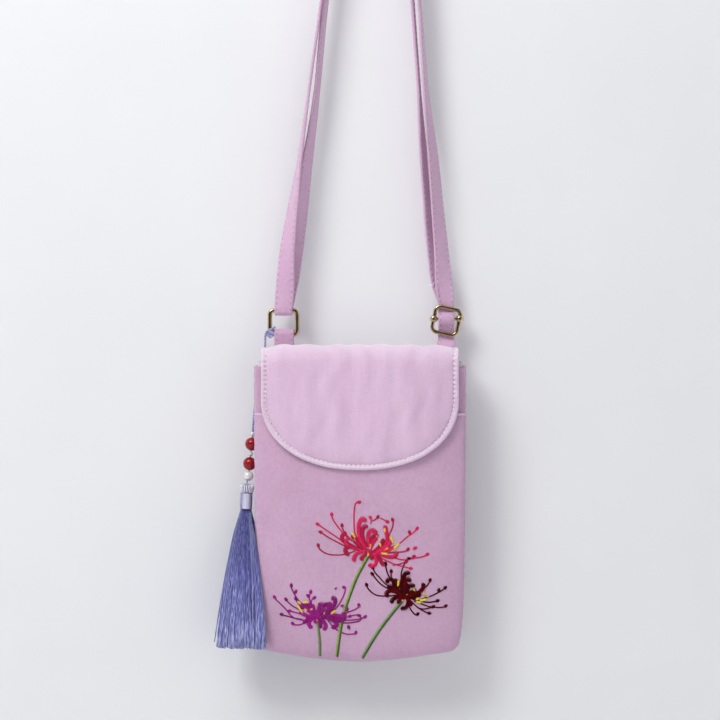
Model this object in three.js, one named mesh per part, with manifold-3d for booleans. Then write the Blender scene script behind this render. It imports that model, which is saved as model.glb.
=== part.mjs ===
import * as THREE from 'three';
import { mergeVertices } from 'three/addons/utils/BufferGeometryUtils.js';
import Module from 'manifold-3d';

// Embroidered crossbody pouch, hanging from its strap. Sizes are millimetres and degrees.
// X runs across the bag, -Y is the front with the flap, and +Z is up.
// The origin is the top of the peg that the strap is hung on.

const wasm = await Module();
wasm.setup();

// Driving sizes. An inset is measured in from the flap's side edge.
const gap = 0.3;            // clearance between pieces that touch on the real bag
const cloth = 2;            // padded cotton wall of the pouch
const pocketWall = 1.6;     // front slip pocket
const liningWall = 1;
const liningDepth = 26;     // how far the lining is seen down the mouth
const liningShow = 0.8;     // how far its edge stands above the rim

const bag = { width: 125, height: 175, front: 10.5, back: 10, bow: 5.5, squareness: 3 };
const pocketDrop = 29.5;    // rim down to the pocket's hem
const pocketTurn = 20;      // where its side edges stop, short of the side seam
const flap = { width: 115.6, length: 72.6, curve: 41.3, rise: 10.6, seam: 12, back: 2, front: 3, ease: 1 };
const flapRound = 2.2;      // how full the flap's lower curve is

const peg = { radius: 12.5, offset: 9.4 };  // offset: how far right of the bag's middle
const strapDrop = 319.8;    // peg top down to the ring's upper bar
const strap = { width: 12, thickness: 1.6, nipWidth: 9.4, nipThickness: 1.1, layerGap: 0.5 };
const strapSewn = 27;       // strap end sewn on the back, below the flap's top edge
const tab = { width: 11.4, thickness: 1.6, show: 7, sewn: 27, inset: 12.8 };
const ring = { width: 19, height: 17, wire: 2.8, corner: 2.6, shift: 0.4 };
const slider = { width: 17.5, height: 17.8, wire: 2.4, corner: 3.2, inset: 6.6, drop: 6.2, tilt: 12 };
// The crossbar: its radius, the wall of its eyes and how far it lies above the frame's middle.
const bar = { radius: 1, wall: 0.8, rise: 1.2 };

const tassel = { length: 80.8, width: 31, depth: 24, locks: 14, lockDepth: 0.05, drop: 87, hang: 4.4 };
const head = { width: 8.5, neck: 6.6, height: 16, wall: 0.9 };
const string = { radius: 0.6, thread: 0.35, bore: 0.65 };
const redBead = 8;
const pearlBead = 6;
const seedBead = 3;

// Places that follow from the sizes.
const bandHalf = strap.thickness / 2;
const flapOuterBack = -(tab.thickness + gap / 2 + gap);
const backFace = flapOuterBack - flap.back - gap;
const widest = backFace - bag.back;
const ringTop = -strapDrop;
const ringBottom = ringTop - (ring.height - ring.wire);
const flapTop = ringBottom - tab.show;
const rim = flapTop - flap.rise;
const bottom = rim - bag.height;
const halfWidth = bag.width / 2;
const tabOut = flap.width / 2 - tab.inset;
const ringOut = tabOut + ring.shift;
const sliderOut = flap.width / 2 - slider.inset;

const rad = THREE.MathUtils.degToRad;
const lerp = THREE.MathUtils.lerp;
const point = (x, y, z) => new THREE.Vector3(x, y, z);

// A closed body through a list of rings with equally many points. cap says how its ends are closed:
// fan for a full section, strip for a thin sheet whose ring runs along one face and back along the
// other, and loop where the last ring joins the first.
function skin(rings, cap = 'fan') {
  const count = rings[0].length;
  const vertices = rings.flat();
  const faces = [];
  const quad = (a, b, c, d) => faces.push(a, b, c, a, c, d);
  const spans = cap === 'loop' ? rings.length : rings.length - 1;
  for (let i = 0; i < spans; i++) {
    const next = (i + 1) % rings.length;
    for (let j = 0; j < count; j++) {
      const k = (j + 1) % count;
      quad(i * count + j, i * count + k, next * count + k, next * count + j);
    }
  }
  const close = (start, flip) => {
    if (cap === 'strip') {
      for (let j = 0; j < count / 2 - 1; j++) {
        const corners = [start + j, start + j + 1, start + count - 2 - j, start + count - 1 - j];
        if (flip) corners.reverse();
        quad(...corners);
      }
      return;
    }
    const middle = point(0, 0, 0);
    for (let j = 0; j < count; j++) middle.addScaledVector(vertices[start + j], 1 / count);
    vertices.push(middle);
    for (let j = 0; j < count; j++) {
      const pair = [start + j, start + ((j + 1) % count)];
      if (flip) pair.reverse();
      faces.push(vertices.length - 1, pair[1], pair[0]);
    }
  };
  if (cap !== 'loop') {
    close(0, cap === 'strip');
    close((rings.length - 1) * count, cap !== 'strip');
  }
  return outward(vertices, faces);
}

// A geometry from points and faces, turned so that its faces point out.
function outward(vertices, faces) {
  let volume = 0;
  for (let i = 0; i < faces.length; i += 3) {
    const [a, b, c] = [vertices[faces[i]], vertices[faces[i + 1]], vertices[faces[i + 2]]];
    volume += a.dot(point(0, 0, 0).crossVectors(b, c));
  }
  const index = volume > 0 ? faces : faces.slice().reverse();
  const geometry = new THREE.BufferGeometry();
  const numbers = vertices.flatMap((v) => v.toArray());
  geometry.setAttribute('position', new THREE.Float32BufferAttribute(numbers, 3));
  geometry.setIndex(index);
  return geometry;
}

function toSolid(geometry) {
  const plain = geometry.clone();
  plain.deleteAttribute('normal');
  plain.deleteAttribute('uv');
  const merged = mergeVertices(plain, 1e-4);
  const mesh = { numProp: 3 };
  mesh.vertProperties = new Float32Array(merged.attributes.position.array);
  mesh.triVerts = new Uint32Array(merged.index.array);
  return new wasm.Manifold(new wasm.Mesh(mesh));
}

function fromSolid(solid) {
  const mesh = solid.getMesh();
  const geometry = new THREE.BufferGeometry();
  geometry.setAttribute('position', new THREE.BufferAttribute(mesh.vertProperties, 3));
  geometry.setIndex(new THREE.BufferAttribute(mesh.triVerts, 1));
  return geometry;
}

// A value from a table's column at a height.
function column(rows, key, place) {
  const last = rows.length - 1;
  if (place >= rows[last].up) return rows[last][key];
  const i = Math.max(1, rows.findIndex((row) => row.up > place));
  const share = (place - rows[i - 1].up) / (rows[i].up - rows[i - 1].up);
  return lerp(rows[i - 1][key], rows[i][key], Math.max(0, share));
}

// The pouch's sections, from its lower edge up to the rim: up is a share of its height, wide of half
// its width, and front and back of its two depths either side of the side seam.
const bagRows = [
  { up: 0.0, wide: 0.8, front: 0.12, back: 0.3 },
  { up: 0.012, wide: 0.888, front: 0.32, back: 0.6 },
  { up: 0.03, wide: 0.925, front: 0.5, back: 0.8 },
  { up: 0.065, wide: 0.948, front: 0.68, back: 0.94 },
  { up: 0.14, wide: 0.968, front: 0.86, back: 1 },
  { up: 0.28, wide: 0.982, front: 1, back: 1 },
  { up: 0.48, wide: 0.99, front: 1, back: 1 },
  { up: 0.68, wide: 0.995, front: 0.88, back: 1 },
  { up: 0.84, wide: 0.998, front: 0.66, back: 1 },
  { up: 1, wide: 1, front: 0.42, back: 1 },
];
const bowFall = 6;          // how quickly the lower edge's bow dies away upwards
const bowPower = 1.6;

function depthAt(up, forward) {
  return forward ? bag.front * column(bagRows, 'front', up) : bag.back * column(bagRows, 'back', up);
}

function bagPoint(up, angle, grow, raise = 0) {
  const power = 2 / bag.squareness;
  const swell = (value) => Math.sign(value) * Math.abs(value) ** power;
  const across = swell(Math.cos(angle));
  const x = across * (halfWidth * column(bagRows, 'wide', up) + grow);
  const deep = depthAt(up, angle > Math.PI);
  const bow = bag.bow * Math.abs(across) ** bowPower * (1 - up) ** bowFall;
  return point(x, widest + swell(Math.sin(angle)) * (deep + grow), bottom + up * bag.height + bow + raise);
}

// The front's depth in Y at a place, with the pouch grown by an amount.
function bagFront(x, z, grow) {
  const up = Math.max(0, (z - bottom) / bag.height);
  const across = Math.min(1, Math.abs(x) / (halfWidth * column(bagRows, 'wide', up) + grow));
  const bulge = (1 - across ** bag.squareness) ** (1 / bag.squareness);
  return widest - (bag.front * column(bagRows, 'front', up) + grow) * bulge;
}

function bagRing(up, grow, raise, count) {
  const ring = [];
  for (let j = 0; j < count; j++) ring.push(bagPoint(up, (j / count) * 2 * Math.PI, grow, raise));
  return ring;
}

function pouch() {
  const round = 36;
  const floorShare = 0.03;
  const outer = bagRows.map((row) => bagRing(row.up, 0, 0, round));
  const inner = bagRows.filter((row) => row.up >= floorShare).reverse();
  return skin([...outer, ...inner.map((row) => bagRing(row.up, -cloth, 0, round))]);
}

function lining() {
  const round = 36;
  const low = 1 - liningDepth / bag.height;
  const outer = -(cloth + gap);
  const inner = outer - liningWall;
  return skin([
    bagRing(low, outer, 0, round),
    bagRing(1, outer, liningShow, round),
    bagRing(1, inner, liningShow, round),
    bagRing(low, inner, 0, round),
  ], 'loop');
}

function frontPocket() {
  const across = 22;
  const hem = 1 - pocketDrop / bag.height;
  const turn = rad(pocketTurn);
  const shares = bagRows.map((row) => row.up).filter((up) => up > 0 && up < hem);
  const row = (up, grow) => {
    const line = [];
    for (let j = 0; j <= across; j++) {
      line.push(bagPoint(up, lerp(Math.PI + turn, 2 * Math.PI - turn, j / across), grow));
    }
    return line;
  };
  const around = (up) => [...row(up, gap + pocketWall), ...row(up, gap).reverse()];
  return skin([...shares, hem].map(around), 'strip');
}

// One column of the flap's inner face, from the seam on the back, over the mouth and down the front,
// as places in Y and Z. share runs from -1 to 1 across the flap.
const flapSteps = { back: 2, roll: 8, front: 12 };
const cornerDrop = 0.22;    // the fold is this much lower at the flap's corners
const cornerPower = 10;

function flapColumn(share) {
  const x = (share * flap.width) / 2;
  const grow = gap + pocketWall + gap + flap.ease;
  const inner = backFace + gap;
  const front = bagFront(x, rim, grow);
  const fold = (flap.rise - flap.back) * (1 - cornerDrop * Math.abs(share) ** cornerPower);
  const full = (1 - Math.abs(share) ** flapRound) ** (1 / flapRound);
  const tip = flapTop - flap.length + flap.curve * (1 - full);
  const line = [];
  for (let i = 0; i < flapSteps.back; i++) line.push([inner, rim - flap.seam * (1 - i / flapSteps.back)]);
  for (let i = 0; i <= flapSteps.roll; i++) {
    const angle = (i / flapSteps.roll) * Math.PI;
    line.push([(inner + front) / 2 + ((inner - front) / 2) * Math.cos(angle), rim + fold * Math.sin(angle)]);
  }
  for (let i = 1; i <= flapSteps.front; i++) {
    const z = lerp(rim, tip, i / flapSteps.front);
    line.push([bagFront(x, z, grow), z]);
  }
  return line.map(([y, z]) => point(x, y, z));
}

function flapSheet() {
  const across = 20;
  const columns = [];
  for (let j = 0; j <= across; j++) columns.push(flapColumn(Math.sin(((j / across) * 2 - 1) * Math.PI / 2)));
  const outer = columns.map((line) => line.map((p, i) => {
    const before = line[Math.max(0, i - 1)];
    const after = line[Math.min(line.length - 1, i + 1)];
    const along = after.clone().sub(before).normalize();
    const padded = Math.min(1, Math.max(0, i - flapSteps.back) / flapSteps.roll);
    const thick = lerp(flap.back, flap.front, padded);
    return p.clone().addScaledVector(point(0, -along.z, along.y), -thick);
  }));
  const rows = columns[0].map((_, i) => [
    ...outer.map((line) => line[i]),
    ...columns.map((line) => line[i]).reverse(),
  ]);
  return skin(rows, 'strip');
}

// A flat band's section at a place on its path: way is the path's direction and lay its width's.
function bandSection(place, way, lay, width, thickness) {
  const up = way.clone().cross(lay);
  const skew = up.length();
  up.normalize();
  const half = width / 2 / skew;
  const edge = 0.4 * thickness;
  const flat = thickness / 2;
  const outline = [[half, -flat / 2], [half, flat / 2], [half - edge, flat], [edge - half, flat]];
  const both = [...outline, ...outline.map(([a, b]) => [-a, -b])];
  return both.map(([a, b]) => place.clone().addScaledVector(lay, a).addScaledVector(up, b));
}

// A band through stops with a place, a turn of its width about Z, a nip from 0 to 1 and a step count
// to the next stop.
function band(stops, size) {
  const curve = new THREE.CatmullRomCurve3(stops.map((stop) => stop.place), false, 'centripetal');
  const last = stops.length - 1;
  const rings = [];
  const add = (i, share) => {
    const next = stops[Math.min(last, i + 1)];
    const t = Math.min(1, (i + share) / last);
    const turn = rad(lerp(stops[i].turn, next.turn, share));
    const nip = lerp(stops[i].nip, next.nip, share);
    const width = lerp(size.width, size.nipWidth, nip);
    const thickness = lerp(size.thickness, size.nipThickness, nip);
    const lay = point(Math.cos(turn), Math.sin(turn), 0);
    rings.push(bandSection(curve.getPoint(t), curve.getTangent(t), lay, width, thickness));
  };
  for (let i = 0; i < last; i++) {
    for (let j = 0; j < stops[i].steps; j++) add(i, j / stops[i].steps);
  }
  add(last, 0);
  return skin(rings);
}

const stop = (x, y, z, turn = 0, nip = 0, steps = 1) => ({ place: point(x, y, z), turn, nip, steps });

// Stops along one hanging run of the strap. down is a share of the drop, drift and swing are shares of
// the strap's width, to the right and to the back, and turn is how far it has turned from facing front.
const runs = {
  rightFront: [
    { down: 0.03, drift: -0.02, swing: 0, turn: 88 },
    { down: 0.2, drift: 0, swing: 0, turn: 86 },
    { down: 0.41, drift: -0.02, swing: 0, turn: 82 },
    { down: 0.59, drift: -0.13, swing: 0, turn: 80 },
    { down: 0.7, drift: -0.13, swing: -0.03, turn: 74 },
    { down: 0.8, drift: -0.12, swing: -0.08, turn: 67 },
    { down: 0.89, drift: -0.1, swing: -0.12, turn: 56 },
    { down: 0.96, drift: -0.06, swing: -0.08, turn: 34 },
  ],
  leftFront: [
    { down: 0.03, drift: 0.02, swing: 0, turn: 88 },
    { down: 0.2, drift: -0.03, swing: 0, turn: 88 },
    { down: 0.41, drift: -0.09, swing: 0, turn: 88 },
    { down: 0.59, drift: -0.14, swing: 0, turn: 87 },
    { down: 0.72, drift: -0.15, swing: 0, turn: 80 },
    { down: 0.81, drift: -0.19, swing: 0, turn: 60 },
    { down: 0.88, drift: -0.19, swing: 0, turn: 42 },
    { down: 0.96, drift: -0.06, swing: 0, turn: 18 },
  ],
  leftBack: [
    { down: 0.03, drift: -0.02, swing: 0, turn: 88 },
    { down: 0.2, drift: 0.01, swing: 0, turn: 80 },
    { down: 0.41, drift: 0.02, swing: 0, turn: 78 },
    { down: 0.57, drift: 0.18, swing: 0.02, turn: 80 },
    { down: 0.65, drift: 0.2, swing: 0.04, turn: 72 },
    { down: 0.72, drift: 0.17, swing: 0.05, turn: 60 },
    { down: 0.8, drift: 0.16, swing: 0.05, turn: 45 },
    { down: 0.87, drift: 0.13, swing: 0.03, turn: 30 },
    { down: 0.94, drift: 0.06, swing: 0, turn: 14 },
  ],
  rightBack: [
    { down: 0.03, drift: 0.02, swing: 0, turn: 88 },
    { down: 0.2, drift: -0.14, swing: 0, turn: 82 },
    { down: 0.41, drift: -0.26, swing: 0, turn: 80 },
    { down: 0.59, drift: -0.3, swing: 0.03, turn: 87 },
    { down: 0.7, drift: -0.34, swing: 0.07, turn: 85 },
    { down: 0.8, drift: -0.3, swing: 0.1, turn: 74 },
    { down: 0.89, drift: -0.2, swing: 0.14, turn: 50 },
    { down: 0.96, drift: -0.1, swing: 0.14, turn: 22 },
  ],
};

function runStops(rows, high, low, turnOf) {
  return rows.map((row) => {
    const place = high.clone().lerp(low, row.down);
    place.x += row.drift * strap.width;
    place.y += row.swing * strap.width;
    return { place, turn: turnOf(row.turn), nip: 0, steps: 2 };
  });
}

function pegStops(radius, from, to, turn) {
  const stops = [];
  const steps = 6;
  for (let i = 0; i <= steps; i++) {
    const angle = rad(lerp(from, to, i / steps));
    stops.push(stop(peg.offset + radius * Math.cos(angle), 0, radius * Math.sin(angle) - peg.radius, turn));
  }
  return stops;
}

const sliderMiddle = point(sliderOut, 0, ringTop - slider.drop);
const barHeight = sliderMiddle.z + bar.rise;
const sliderReach = { side: (slider.width - slider.wire) / 2, end: (slider.height - slider.wire) / 2 };
const nipHalf = strap.nipThickness / 2;
const behindFrame = slider.wire / 2 + gap + nipHalf;
const barWrap = bar.radius + gap + nipHalf;
const overWrap = barWrap + nipHalf + gap + nipHalf;
const frameLean = Math.sin(rad(slider.tilt)) * (strap.nipWidth / 2);

function strapStops() {
  const inner = peg.radius + bandHalf;
  const outer = inner + strap.thickness + strap.layerGap;
  const pegRight = (radius) => point(peg.offset + radius, 0, -peg.radius);
  const pegLeft = (radius) => point(peg.offset - radius, 0, -peg.radius);
  const sewnDepth = flapOuterBack + gap + bandHalf;
  const x = sliderOut;
  const clear = slider.wire / 2 + nipHalf;
  const upper = sliderMiddle.z + sliderReach.end;
  const lower = sliderMiddle.z - sliderReach.end;
  const around = (angle, reach, turn) => {
    const y = -reach * Math.cos(rad(angle));
    return stop(x, y, barHeight + reach * Math.sin(rad(angle)), turn, 1);
  };
  const nipStart = upper + frameLean + clear;
  const ringAround = ring.wire / 2 + gap + bandHalf;
  const ringNip = 0.5;
  const ringStop = (angle) => {
    const y = -ringAround * Math.cos(rad(angle));
    return stop(-ringOut, y, ringTop - ringAround * Math.sin(rad(angle)), 180, ringNip);
  };
  const backDepth = behindFrame + 2 * nipHalf + gap;
  const plain = (turn) => turn;
  const back = (turn) => 180 - turn;
  const over = (turn) => 180 + turn;
  return [
    stop(x, sewnDepth, flapTop - strapSewn, 0, 0, 2),
    stop(x, sewnDepth, flapTop - 4, 0, 0, 2),
    stop(x, sewnDepth + 1, flapTop + 1, 0, 0.4),
    stop(x, behindFrame, lower - frameLean - clear, 0, 0.9, 1),
    stop(x, behindFrame, lower + frameLean, 0, 1, 1),
    stop(x, 0.1, lower + frameLean + clear + gap + 1.4, 0, 1),
    around(-45, overWrap, 0),
    around(-15, overWrap, 0),
    around(15, overWrap, 0),
    around(45, overWrap, 0),
    around(80, overWrap, 0),
    stop(x, behindFrame * 0.6, upper - frameLean - clear - 0.3, 0, 1),
    stop(x, behindFrame, upper - frameLean - 0.6, 0, 1),
    stop(x, behindFrame, nipStart, 2, 1),
    ...runStops(runs.rightFront, pegRight(outer), point(x, behindFrame, nipStart), plain).reverse(),
    ...pegStops(outer, 0, 180, 90),
    ...runStops(runs.leftFront, pegLeft(outer), point(-ringOut, -ringAround, ringTop), back),
    ...[0, 30, 60, 90, 120, 150, 180].map(ringStop),
    ...runStops(runs.leftBack, pegLeft(inner), point(-ringOut, ringAround, ringTop), over).reverse(),
    ...pegStops(inner, 180, 0, 270),
    ...runStops(runs.rightBack, pegRight(inner), point(x, backDepth, nipStart), over),
    stop(x, backDepth, nipStart, 182, 1),
    stop(x, backDepth, upper - frameLean - 0.6, 180, 1),
    around(180 - 32, barWrap + 0.35, 180),
    around(180, barWrap, 180),
    around(215, barWrap, 180),
    around(250, barWrap, 180),
    around(285, barWrap, 180),
    around(320, barWrap, 180),
    around(355, barWrap, 180),
    around(390, barWrap, 180),
    around(430, barWrap, 180),
  ];
}

function ringTab() {
  const around = ring.wire / 2 + gap + tab.thickness / 2;
  const layer = (tab.thickness + gap) / 2;
  const out = -tabOut;
  const foot = flapTop - tab.sewn;
  const meet = flapTop - 1;
  const leg = (side) => [stop(out, side * layer, foot), stop(out, side * layer, meet - 8, 0, 0, 2),
    stop(out, side * layer, meet)];
  const arc = [];
  for (let angle = -20; angle <= 200; angle += 22) {
    arc.push(stop(out, -around * Math.cos(rad(angle)), ringBottom + around * Math.sin(rad(angle))));
  }
  const size = { ...tab, nipWidth: tab.width, nipThickness: tab.thickness };
  return band([...leg(-1), ...arc, ...leg(1).reverse()], size);
}

// A round wire bent to a rectangle with round corners, in the XZ plane about the origin.
function wireFrame(width, height, wire, corner) {
  const sides = 10;
  const bends = 5;
  const reach = { x: (width - wire) / 2 - corner, z: (height - wire) / 2 - corner };
  const rings = [];
  for (let q = 0; q < 4; q++) {
    for (let i = 0; i <= bends; i++) {
      const angle = ((q + i / bends) * Math.PI) / 2;
      const away = point(Math.cos(angle), 0, Math.sin(angle));
      const side = { x: q === 0 || q === 3 ? 1 : -1, z: q < 2 ? 1 : -1 };
      const middle = point(side.x * reach.x, 0, side.z * reach.z).addScaledVector(away, corner);
      const ringPoints = [];
      for (let j = 0; j < sides; j++) {
        const turn = (j / sides) * 2 * Math.PI;
        const p = middle.clone().addScaledVector(away, (wire / 2) * Math.cos(turn));
        ringPoints.push(p.add(point(0, (wire / 2) * Math.sin(turn), 0)));
      }
      rings.push(ringPoints);
    }
  }
  return skin(rings, 'loop');
}

// The crossbar, with an eye at each end that runs on the frame's side wire.
function crossbar() {
  const lean = rad(slider.tilt);
  const eye = slider.wire / 2 + gap + bar.wall;
  const length = 2 * sliderReach.side / Math.cos(lean);
  const rod = new THREE.CylinderGeometry(bar.radius, bar.radius, length, 12).rotateZ(Math.PI / 2);
  let solid = toSolid(rod);
  const ends = [-1, 1].map((side) => sideWireAt(side).sub(point(sliderOut, 0, barHeight)).x);
  for (const end of ends) {
    const knob = new THREE.SphereGeometry(eye, 14, 10).translate(end, 0, 0);
    solid = solid.add(toSolid(knob));
  }
  const boreRadius = slider.wire / 2 + gap;
  for (const end of ends) {
    const bore = new THREE.CylinderGeometry(boreRadius, boreRadius, 4 * eye, 14);
    bore.rotateX(Math.PI / 2).rotateY(lean).translate(end, 0, 0);
    solid = solid.subtract(toSolid(bore));
  }
  return fromSolid(solid);
}

// Where the slider's side wire passes the crossbar's height.
function sideWireAt(side) {
  const lean = rad(slider.tilt);
  const across = point(Math.cos(lean), 0, -Math.sin(lean)).multiplyScalar(side * sliderReach.side);
  const along = (bar.rise - across.z) / Math.cos(lean);
  return sliderMiddle.clone().add(across).add(point(Math.sin(lean) * along, 0, Math.cos(lean) * along));
}

// The tassel's string, from its hitch on the ring's lower left corner down to the beads.
// Across, x is from the ring's corner where it says ring, and out from the bag's side where it says
// side. y is the depth, and down is from the ring's corner.
const hitch = point(-ringOut - ring.width / 2, 0, ringBottom - ring.wire / 2);
const stringRoute = [
  { from: 'ring', x: 4.3, y: -0.6, down: -5.6 },
  { from: 'ring', x: 3.4, y: -2.2, down: -5 },
  { from: 'ring', x: 1.4, y: -2.5, down: -4 },
  { from: 'ring', x: -0.7, y: -1.4, down: -2.6 },
  { from: 'ring', x: -1.3, y: 0.2, down: 0 },
  { from: 'ring', x: -1.4, y: 0.3, down: 4 },
  { from: 'ring', x: -2.2, y: 0.2, down: 12 },
  { from: 'side', x: 2.4, y: -0.6, down: 26 },
  { from: 'side', x: 0.4, y: -2.6, down: 40 },
  { from: 'side', x: -0.6, y: -4.2, down: 51 },
];

// The beads from the top down, placed as the string's lower stops are.
const beadRows = [
  { name: 'seed_bead_1', size: seedBead, x: -1, y: -4.8, down: 57.7, colour: 0xdde2ea },
  { name: 'red_bead_1', size: redBead, x: -1.5, y: -5.1, down: 63.6, colour: 0x8f1420 },
  { name: 'seed_bead_2', size: seedBead, x: -2.2, y: -5.4, down: 69.4, colour: 0xdde2ea },
  { name: 'red_bead_2', size: redBead, x: -2.7, y: -5.7, down: 75.2, colour: 0x8f1420 },
  { name: 'pearl_bead', size: pearlBead, x: -3.5, y: -6.1, down: 82.5, colour: 0xf1ece6 },
];
const routePlace = (row) => {
  const across = row.from === 'ring' ? hitch.x : -halfWidth;
  return point(across + row.x, row.y, hitch.z - row.down);
};
const headTop = point(-halfWidth - tassel.hang, -6.6, hitch.z - tassel.drop);
const skirtTop = headTop.clone().add(point(-0.5, -0.9, -head.height));
const skirtFoot = point(headTop.x - 2.7, -14, skirtTop.z - tassel.length);

function tube(stops, sides = 8) {
  const curve = new THREE.CatmullRomCurve3(stops.map((s) => s.place), false, 'centripetal');
  const last = stops.length - 1;
  const steps = 2 * last;
  const rings = [];
  let across = point(0, 1, 0);
  for (let i = 0; i <= steps; i++) {
    const t = i / steps;
    const way = curve.getTangent(t);
    across = across.clone().addScaledVector(way, -across.dot(way)).normalize();
    const other = way.clone().cross(across);
    const span = Math.min(last - 1, Math.floor(t * last));
    const radius = lerp(stops[span].radius, stops[span + 1].radius, t * last - span);
    const middle = curve.getPoint(t);
    const ringPoints = [];
    for (let j = 0; j < sides; j++) {
      const turn = (j / sides) * 2 * Math.PI;
      const p = middle.clone().addScaledVector(across, radius * Math.cos(turn));
      ringPoints.push(p.addScaledVector(other, radius * Math.sin(turn)));
    }
    rings.push(ringPoints);
  }
  return skin(rings);
}

function tasselString() {
  const upper = stringRoute.map((row) => ({ place: routePlace(row), radius: string.radius }));
  const through = beadRows.map((row) => ({ place: routePlace(row), radius: string.thread }));
  const end = headTop.clone().add(point(0, 0, -head.height * 0.3));
  return tube([...upper, ...through, { place: headTop.clone(), radius: string.thread },
    { place: end, radius: string.thread }]);
}

// A turned body from a profile of radius and height.
function turned(profile, sides) {
  const points = profile.map(([radius, z]) => new THREE.Vector2(radius, z));
  return new THREE.LatheGeometry(points, sides).rotateX(Math.PI / 2);
}

function bead(size) {
  const profile = [];
  const radius = size / 2;
  const start = Math.asin(string.bore / radius);
  const steps = 6;
  for (let i = 0; i <= steps; i++) {
    const angle = lerp(start, Math.PI - start, i / steps);
    profile.push([radius * Math.sin(angle), -radius * Math.cos(angle)]);
  }
  profile.push([...profile[0]]);
  return turned(profile, 14);
}

// The direction a bead or the head points up its string.
function alongString(from, to) {
  return new THREE.Quaternion().setFromUnitVectors(point(0, 0, 1), to.clone().sub(from).normalize());
}

// A wrapped neck, flared at the top, with a bore for the string and a socket for the threads.
function tasselHead() {
  const socket = head.neck / 2 - head.wall;
  const flare = head.width / 2;
  const neck = head.neck / 2;
  const tall = head.height;
  return turned([
    [string.bore, 0], [string.bore, -tall * 0.4], [socket, -tall * 0.45], [socket, -tall],
    [neck * 0.94, -tall], [neck, -tall * 0.9], [neck, -tall * 0.36],
    [flare * 0.96, -tall * 0.22], [flare, -tall * 0.12], [flare * 0.55, 0], [string.bore, 0],
  ], 20);
}

// The skirt's outer form: down is a share of its length and wide of its width at the foot.
const skirtRows = [
  { down: 0, wide: 0.225 },
  { down: 0.06, wide: 0.3 },
  { down: 0.12, wide: 0.39 },
  { down: 0.25, wide: 0.53 },
  { down: 0.43, wide: 0.68 },
  { down: 0.62, wide: 0.82 },
  { down: 0.82, wide: 0.93 },
  { down: 1, wide: 1 },
];

function insideBag(p) {
  const grow = gap + pocketWall + gap;
  const up = (p.z - bottom) / bag.height;
  if (up < 0) return false;
  const deep = depthAt(up, p.y < widest);
  const across = Math.abs(p.x) / (halfWidth * column(bagRows, 'wide', up) + grow);
  const depth = Math.abs(p.y - widest) / (deep + grow);
  return across ** bag.squareness + depth ** bag.squareness < 1;
}

// How far a thread may reach from the skirt's axis before it meets the bag.
function reachOf(axis, away, reach) {
  const steps = 40;
  for (let i = 1; i <= steps; i++) {
    if (insideBag(axis.clone().addScaledVector(away, (i / steps) * reach))) return ((i - 1) / steps) * reach;
  }
  return reach;
}

function tasselSkirt() {
  const sides = 3 * tassel.locks;
  const socket = head.neck / 2 - head.wall - gap;
  const rings = [];
  const ringAt = (axis, wide, deep, locks) => {
    const points = [];
    for (let j = 0; j < sides; j++) {
      const angle = (j / sides) * 2 * Math.PI;
      const ridge = 1 + locks * Math.cos(angle * tassel.locks);
      const away = point(Math.cos(angle) * wide * ridge, Math.sin(angle) * deep * ridge, 0);
      const reach = away.length();
      away.normalize();
      points.push(axis.clone().addScaledVector(away, reachOf(axis, away, reach)));
    }
    return points;
  };
  const plug = skirtTop.clone().add(point(0.27, 0.5, head.height * 0.5));
  rings.push(ringAt(plug, socket, socket, 0));
  rings.push(ringAt(skirtTop.clone().add(point(0, 0, -gap)), socket, socket, 0));
  for (const row of skirtRows) {
    const axis = skirtTop.clone().lerp(skirtFoot, row.down);
    axis.z -= 3 * gap * (1 - row.down);
    rings.push(ringAt(axis, (row.wide * tassel.width) / 2, (row.wide * tassel.depth) / 2, tassel.lockDepth));
  }
  return skin(rings);
}

const lilac = 0xc9a3c4;
const lightLilac = 0xdcbfdb;
const gold = 0xcdb27e;
const group = new THREE.Group();
group.position.x = -peg.offset;

function add(name, geometry, color, roughness, metalness = 0) {
  const mesh = new THREE.Mesh(geometry, new THREE.MeshStandardMaterial({ color, roughness, metalness }));
  mesh.name = name;
  group.add(mesh);
  return mesh;
}

add('pouch', pouch(), lilac, 0.85);
add('mouth_lining', lining(), 0xe9e4ea, 0.8);
add('front_pocket', frontPocket(), lilac, 0.85);
add('flap', flapSheet(), lightLilac, 0.8);
add('strap', band(strapStops(), strap), lilac, 0.85);
add('ring_tab', ringTab(), lilac, 0.85);

const ringShape = wireFrame(ring.width, ring.height, ring.wire, ring.corner);
const rectangularRing = add('rectangular_ring', ringShape, gold, 0.25, 1);
rectangularRing.position.set(-ringOut, 0, (ringTop + ringBottom) / 2);

const sliderShape = wireFrame(slider.width, slider.height, slider.wire, slider.corner);
const sliderFrame = add('slider_frame', sliderShape, gold, 0.25, 1);
sliderFrame.position.copy(sliderMiddle);
sliderFrame.rotation.y = rad(slider.tilt);

const sliderBar = add('slider_bar', crossbar(), gold, 0.25, 1);
sliderBar.position.set(sliderOut, 0, barHeight);

add('tassel_string', tasselString(), 0xa9a6cf, 0.7);
for (const [i, row] of beadRows.entries()) {
  const above = routePlace(i ? beadRows[i - 1] : stringRoute.at(-1));
  const below = i < beadRows.length - 1 ? routePlace(beadRows[i + 1]) : headTop;
  const mesh = add(row.name, bead(row.size), row.colour, 0.15);
  mesh.position.copy(routePlace(row));
  mesh.quaternion.copy(alongString(below, above));
}
const tasselCap = add('tassel_head', tasselHead(), 0xb9bcd2, 0.45);
tasselCap.position.copy(headTop);
tasselCap.quaternion.copy(alongString(skirtTop, headTop));
add('tassel_skirt', tasselSkirt(), 0x6c6eaa, 0.6);

export default group;
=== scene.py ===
import math

import bpy
import numpy as np
from mathutils import Matrix, Vector
from mathutils.bvhtree import BVHTree


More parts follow.
